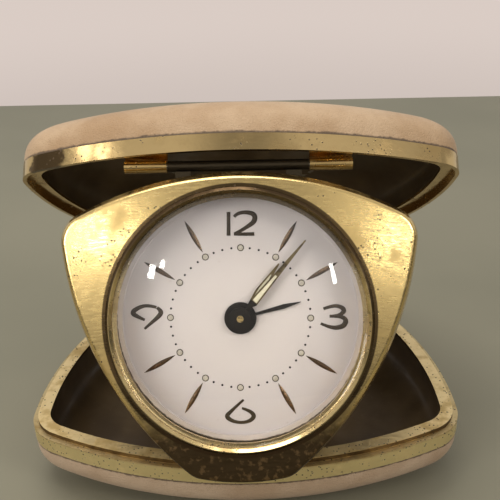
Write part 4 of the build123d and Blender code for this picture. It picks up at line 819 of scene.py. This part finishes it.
# %% [markdown]
# ## Dots and leaves round the dial
# The dial has a luminous spot for each hour, three black dots between every two of them
# for the alarm's quarters, and eight slim leaves that point at the hours without a
# numeral. Each is drawn once, near the origin, and one tree sets copies of it round a
# circle. The tree can leave out every third or fourth place. It leaves out the last of
# each group, so such a ring is turned on by one place, and its gaps come at the hours.

# %% A tree that sets copies round the dial
ring_tree, ring_in = geometry_tree("round_the_dial", (
    ("Piece", "Object"), ("Copies", "Int"), ("Radius", "Float"), ("Left Out Every", "Int"),
    ("Finish", "Material"),
))
places = put(ring_tree, "GeometryNodeMeshCircle", {
    "Vertices": ring_in["Copies"], "Radius": ring_in["Radius"],
}).outputs["Mesh"]
number = put(ring_tree, "GeometryNodeInputIndex").outputs[0]
on_turn = maths(ring_tree, "MODULO", maths(ring_tree, "ADD", number, 1), ring_in["Left Out Every"])
kept = maths(ring_tree, "GREATER_THAN", on_turn, 0.5)
turned = maths(ring_tree, "DIVIDE", times(ring_tree, number, 2 * math.pi), ring_in["Copies"])
copies = put(ring_tree, "GeometryNodeInstanceOnPoints", {
    "Points": places, "Selection": kept,
    "Instance": put(ring_tree, "GeometryNodeObjectInfo", {"Object": ring_in["Piece"]}).outputs["Geometry"],
    "Rotation": put(ring_tree, "ShaderNodeCombineXYZ", {"Z": turned}).outputs[0],
}).outputs[0]
end_tree(ring_tree, copies, ring_in["Finish"])


def lathe(profile, segments):
    """A mesh turned from corners of radius and height in millimetres, the last on the axis."""
    form = bmesh.new()
    rings = []
    for radius, height in profile:
        count = segments if radius else 1
        rings.append([
            form.verts.new((
                radius * MM * math.cos(2 * math.pi * index / segments),
                radius * MM * math.sin(2 * math.pi * index / segments),
                height * MM,
            ))
            for index in range(count)
        ])
    for outer, inner in zip(rings, rings[1:]):
        for index in range(segments):
            after = (index + 1) % segments
            corners = [outer[index], outer[after], inner[after % len(inner)], inner[index % len(inner)]]
            form.faces.new(list(dict.fromkeys(corners)))
    form.faces.new(list(reversed(rings[0])))
    mesh = bpy.data.meshes.new("lathe")
    form.to_mesh(mesh)
    form.free()
    return mesh


def leaf(length, width, ridge, steps=14):
    """A slim leaf along x with a ridge down its middle."""
    form = bmesh.new()
    rows = []
    for index in range(steps + 1):
        share_along = index / steps
        swell = math.sin(math.pi * share_along) ** 0.8 if 0 < index < steps else 0.02
        x, half = (share_along - 0.5) * length, swell * width / 2
        rows.append([
            form.verts.new((x, side * half, top * ridge * swell + 0.01 * MM))
            for side, top in ((-1, 0), (0, 1), (1, 0))
        ])
    for row, after in zip(rows, rows[1:]):
        for column in (0, 1):
            form.faces.new((row[column], after[column], after[column + 1], row[column + 1]))
    form.faces.new([row[0] for row in reversed(rows)] + [row[2] for row in rows])
    mesh = bpy.data.meshes.new("leaf")
    form.to_mesh(mesh)
    form.free()
    return mesh


print("ring tree", len(ring_tree.nodes), "nodes")

# %% Dots, spots and leaves on the dial
DOT_RING_R = 12.0
LEAF_RING_R = 16.0
HOURS = 12
QUARTERS = 48
NONE_LEFT_OUT = 100
spot_profile = ((0.45, 0.0), (0.45, 0.06), (0.36, 0.11), (0.20, 0.14), (0.0, 0.15))
cup_profile = ((0.60, 0.0), (0.57, 0.05), (0.50, 0.07), (0.44, 0.05), (0.0, 0.04))
dot_profile = ((0.20, 0.0), (0.19, 0.02), (0.0, 0.03))
round_dial = (
    ("minute_dots", lathe(dot_profile, 12), QUARTERS, DOT_RING_R, 4, "print_black"),
    ("hour_cups", lathe(cup_profile, 20), HOURS, DOT_RING_R, NONE_LEFT_OUT, "numeral_bronze"),
    ("hour_spots", lathe(spot_profile, 20), HOURS, DOT_RING_R, NONE_LEFT_OUT, "lume_spot"),
    ("hour_leaves", leaf(6.2 * MM, 0.85 * MM, 0.26 * MM), HOURS, LEAF_RING_R, 3, "marker_bronze"),
)
for name, mesh, count, radius, left_out, finish in round_dial:
    one = set_aside("one", mesh)
    made = grow(ring_tree, {
        "Piece": one, "Copies": count, "Radius": radius * MM, "Left Out Every": left_out,
        "Finish": dial_finishes[finish],
    })
    bpy.data.objects.remove(one)
    one_place_on = 2 * math.pi / count if left_out < count else 0.0
    piece(name, made, printed_plane @ Matrix.Rotation(one_place_on, 4, "Z"), "clock", 50)
    print(name, len(made.polygons), "faces")

# %% [markdown]
# ## The numerals
# 12, 3, 6 and 9 are raised strokes of bronze, thick on the curves and thin on the
# straights, as a broad pen writes. A font's letters have flat tops and sharp edges. Here
# each stroke is a curve whose points carry their own width. A tree sweeps a flattened
# round along it, and that gives the soft shoulders which catch the light.

# %% A tree for raised strokes
stroke_tree, stroke_in = geometry_tree("raised_stroke", (("Flatness", "Float"), ("Finish", "Material")))
section = put(stroke_tree, "GeometryNodeTransform", {
    "Geometry": put(stroke_tree, "GeometryNodeCurvePrimitiveCircle", {
        "Resolution": 10, "Radius": 1.0,
    }).outputs[0],
    "Scale": put(stroke_tree, "ShaderNodeCombineXYZ", {
        "X": 1.0, "Y": stroke_in["Flatness"], "Z": 1.0,
    }).outputs[0],
}).outputs[0]
lying = put(stroke_tree, "GeometryNodeSetCurveNormal", {
    "Curve": stroke_in["Geometry"],
}, mode="Z_UP").outputs[0]
sweep = put(stroke_tree, "GeometryNodeCurveToMesh", {
    "Curve": lying, "Profile Curve": section, "Fill Caps": True,
    "Scale": put(stroke_tree, "GeometryNodeInputRadius").outputs[0],
}).outputs[0]
end_tree(stroke_tree, sweep, stroke_in["Finish"])
print("stroke tree", len(stroke_tree.nodes), "nodes")

# %% Strokes of the four numerals
STROKE_FLATNESS = 0.45
STROKE_LIFT = 0.02 * MM
# Each stroke is a row of x, y and width, in millimetres from the middle of the dial
numeral_strokes = (
    ((-2.05, 18.10, 0.66), (-2.04, 16.8, 0.62), (-2.04, 15.5, 0.62), (-2.04, 14.05, 0.68)),
    ((-1.10, 17.25, 0.54), (-0.65, 17.82, 0.58), (0.85, 18.10, 0.66), (2.42, 17.75, 0.86),
     (2.45, 16.50, 0.88), (1.25, 15.65, 0.68), (0.00, 14.85, 0.58), (-1.05, 14.33, 0.58)),
    ((-1.12, 14.33, 0.54), (0.20, 14.31, 0.58), (1.40, 14.33, 0.60), (2.35, 14.35, 0.64)),
    ((14.15, 1.58, 0.50), (15.40, 2.05, 0.58), (16.80, 2.12, 0.66), (17.85, 1.42, 0.84),
     (17.10, 0.56, 0.66), (15.90, 0.34, 0.52), (15.20, 0.34, 0.50)),
    ((15.20, 0.32, 0.50), (16.90, 0.36, 0.56), (18.05, -0.15, 0.84), (17.80, -1.25, 0.92),
     (16.40, -1.72, 0.76), (14.90, -1.45, 0.58), (13.70, -0.92, 0.46)),
    ((0.55, -14.10, 0.40), (-0.45, -15.00, 0.48), (-1.60, -16.10, 0.60), (-2.50, -17.00, 0.84),
     (-1.45, -17.80, 0.66), (0.15, -18.10, 0.50), (1.65, -17.80, 0.66), (2.50, -16.90, 0.80),
     (1.55, -15.95, 0.58), (0.25, -15.55, 0.42)),
    ((-14.40, 1.75, 0.50), (-15.40, 2.02, 0.56), (-16.70, 2.02, 0.62), (-18.10, 1.35, 0.78),
     (-18.55, 0.72, 0.90), (-17.70, 0.15, 0.66), (-16.40, -0.42, 0.46)),
    ((-14.30, 1.72, 0.52), (-13.55, 1.15, 0.80), (-13.75, 0.45, 0.84), (-14.90, -0.60, 0.60),
     (-16.45, -1.95, 0.42)),
)
numerals = bpy.data.curves.new("numerals", "CURVE")
numerals.dimensions = "3D"
numerals.resolution_u = 10
for stroke in numeral_strokes:
    spline = numerals.splines.new("NURBS")
    spline.points.add(len(stroke) - 1)
    for (x, y, width), target in zip(stroke, spline.points):
        target.co = (x * MM, y * MM, STROKE_LIFT, 1)
        target.radius = width / 2 * MM
    spline.order_u = 3
    spline.use_endpoint_u = True
numeral_mesh = grow(stroke_tree, {
    "Flatness": STROKE_FLATNESS, "Finish": dial_finishes["numeral_bronze"],
}, numerals)
piece("dial_numerals", numeral_mesh, printed_plane, "clock", 60)
print("numerals", len(numeral_mesh.polygons), "faces")

# %% [markdown]
# ## The table
# The photograph has a grey-green table with a pale wall a good way behind it. The table is
# a sheet with a rounded far edge. The wall is only a colour of the world, so it never
# stands in the way when the clock is looked at from behind. The table doesn't belong to
# the clock, so it rides on none of the clock's bodies.

# %% The table
TABLE_EDGE_Y = 0.214
TABLE_SPAN = 1.6
EDGE_ROUND = 0.004
EDGE_STEPS = 8
edge_angles = [math.pi / 2 * index / EDGE_STEPS for index in range(EDGE_STEPS + 1)]
profile = [(-TABLE_SPAN, 0.0)] + [
    (TABLE_EDGE_Y + EDGE_ROUND * math.sin(angle), EDGE_ROUND * (math.cos(angle) - 1))
    for angle in edge_angles
]
form = bmesh.new()
left, right = [
    [form.verts.new((x, y, z)) for y, z in profile]
    for x in (-TABLE_SPAN, TABLE_SPAN)
]
for index in range(len(profile) - 1):
    form.faces.new((left[index], right[index], right[index + 1], left[index + 1]))
table_mesh = bpy.data.meshes.new("table")
form.to_mesh(table_mesh)
form.free()
table_mesh.shade_smooth()
table = bpy.data.objects.new("table", table_mesh)
bpy.context.scene.collection.objects.link(table)
table_finish, tree, shader, where = finish_of("table")
table_tint = colour_mix(tree, span(tree, noise(tree, where, 60, 3), 0.35, 0.7),
                        (0.238, 0.222, 0.156), (0.212, 0.200, 0.140))
tree.links.new(table_tint, shader.inputs["Base Color"])
shader.inputs["Roughness"].default_value = 0.6
bump(tree, shader, noise(tree, where, 1.5, 3), 0.01)
table.data.materials.append(table_finish)
print("table", len(table_mesh.polygons), "faces")

# %% [markdown]
# ## Lamps
# Three soft panels light the leather, the dial and the table. One strong lamp would throw
# a hard shadow, and the photograph has only a faint one under the base. Their power is
# set so that each colour comes out about as it is written.


# %% Soft panels
def panel(name, place, target, size, power):
    """A soft square lamp that looks at a point."""
    data = bpy.data.lights.new(name, "AREA")
    data.shape = "RECTANGLE"
    data.size, data.size_y = size
    data.energy = power
    data.color = (1, 0.97, 0.93)
    lamp = bpy.data.objects.new(name, data)
    aim = (Vector(target) - Vector(place)).to_track_quat("-Z", "Y")
    lamp.matrix_world = Matrix.Translation(Vector(place)) @ aim.to_matrix().to_4x4()
    bpy.context.scene.collection.objects.link(lamp)


MIDDLE = (0, -0.01, 0.03)
soft_panels = (
    ("overhead", (-0.06, 0.06, 0.44), (0.30, 0.22), 0.86),
    ("left_front", (-0.34, -0.30, 0.26), (0.16, 0.20), 0.7),
    ("right_front", (0.30, -0.26, 0.30), (0.10, 0.10), 0.4),
)
for name, place, size, power in soft_panels:
    panel(name, place, MIDDLE, size, power)
print("panels", len(bpy.data.lights))

# %% [markdown]
# ## Glints
# Acrylic and polished brass show lamps as sharp glints. Moving lamps about until a glint
# falls right takes long. So the lamp is placed backwards: the look from the camera is
# mirrored at the wanted spot, and a small lamp is put along that line. Three glints lie
# on the domed crystal and one on the lid's band.

# %% Lamps that are mirrored at a spot
GLINT_REACH = 0.35
CRYSTAL_BALL_R = 101 * MM
BAND_GLINT_ANGLE = math.radians(-18.3)
BAND_GLINT_SIZE = (0.075, 0.05)
BAND_GLINT_POWER = 0.035


def glint(name, spot_on, normal, size, power):
    """A lamp that stands where a mirroring spot shows it to the camera."""
    look = (spot_on - CAMERA_PLACE).normalized()
    mirrored = look - 2 * look.dot(normal) * normal
    panel(name, spot_on + mirrored * GLINT_REACH, spot_on, size, power)


crystal_glints = (
    ("glint_left", (-14.2, 8.4), (0.010, 0.022), 0.024),
    ("glint_left_beside", (-12.4, 9.6), (0.008, 0.012), 0.012),
    ("glint_right", (15.4, 7.6), (0.006, 0.034), 0.022),
)
ball_centre = dial_centre - dial_axis * CRYSTAL_BALL_R
for name, (x, y), size, power in crystal_glints:
    spot_on = dial_plane @ (Vector((x, y, 0)) * MM)
    glint(name, spot_on, (spot_on - ball_centre).normalized(), size, power)

outward = Vector((math.sin(BAND_GLINT_ANGLE), -math.cos(BAND_GLINT_ANGLE), 0))
on_band = Vector((0, FRONT_R - CASE_LENGTH / 2, BAND_H / 2)) + outward * FRONT_R
lid_plane = half_planes["lid"]
glint("glint_band", lid_plane @ on_band, lid_plane.to_3x3() @ outward, BAND_GLINT_SIZE, BAND_GLINT_POWER)
print("lamps", len(bpy.data.lights))

# %% [markdown]
# ## The room
# Polished metal shows what is around it more than it shows light. The shield mirrors the
# room behind the camera, which is bright to the sides and above and dim below. Behind the
# clock is the pale wall. A picture of a room could be mirrored, but a few smooth spans
# between directions are enough. Light Path tells the rays apart: the camera sees the
# wall's own colour, mirroring surfaces see this room, and the rest gets an even glow.

# %% The world
GLOW_TINT = (1.0, 0.97, 0.94)
WALL_TINT = (0.70, 0.605, 0.555)
WALL_MIRRORED = 0.66
world = bpy.data.worlds.new("room")
world.use_nodes = True
bpy.context.scene.world = world
sky = world.node_tree
toward = put(sky, "ShaderNodeSeparateXYZ", {
    "Vector": put(sky, "ShaderNodeTexCoord").outputs["Generated"],
}).outputs
rays = put(sky, "ShaderNodeLightPath").outputs
in_view = rays["Is Camera Ray"]
mirroring = maths(sky, "MAXIMUM", rays["Is Glossy Ray"], rays["Is Transmission Ray"])
glow = span(sky, toward["Z"], -0.2, 0.9, 0.34, 0.55)
aside = span(sky, maths(sky, "ABSOLUTE", toward["X"]), 0.05, 0.36, 0.34, 0.76)
above = span(sky, toward["Z"], 0.05, 0.50, 0.10, 1.0)
before = span(sky, toward["Y"], 0.3, -0.6, 0.35, 1.0)
wall_side = span(sky, toward["Y"], 0.0, 0.2)
wall_seen = span(sky, toward["Z"], -0.32, -0.20, 0.87, 1.0)


def blend(share, first, second):
    """One strength moved towards another by a share."""
    return maths(sky, "ADD", times(sky, first, rest_of(sky, share)), times(sky, second, share))


room = blend(wall_side, times(sky, aside, times(sky, above, before)), WALL_MIRRORED)
strength = blend(in_view, blend(mirroring, glow, room), wall_seen)
backdrop = sky.nodes["Background"].inputs
sky.links.new(colour_mix(sky, in_view, GLOW_TINT, WALL_TINT), backdrop["Color"])
sky.links.new(strength, backdrop["Strength"])
print("world", len(sky.nodes), "nodes")
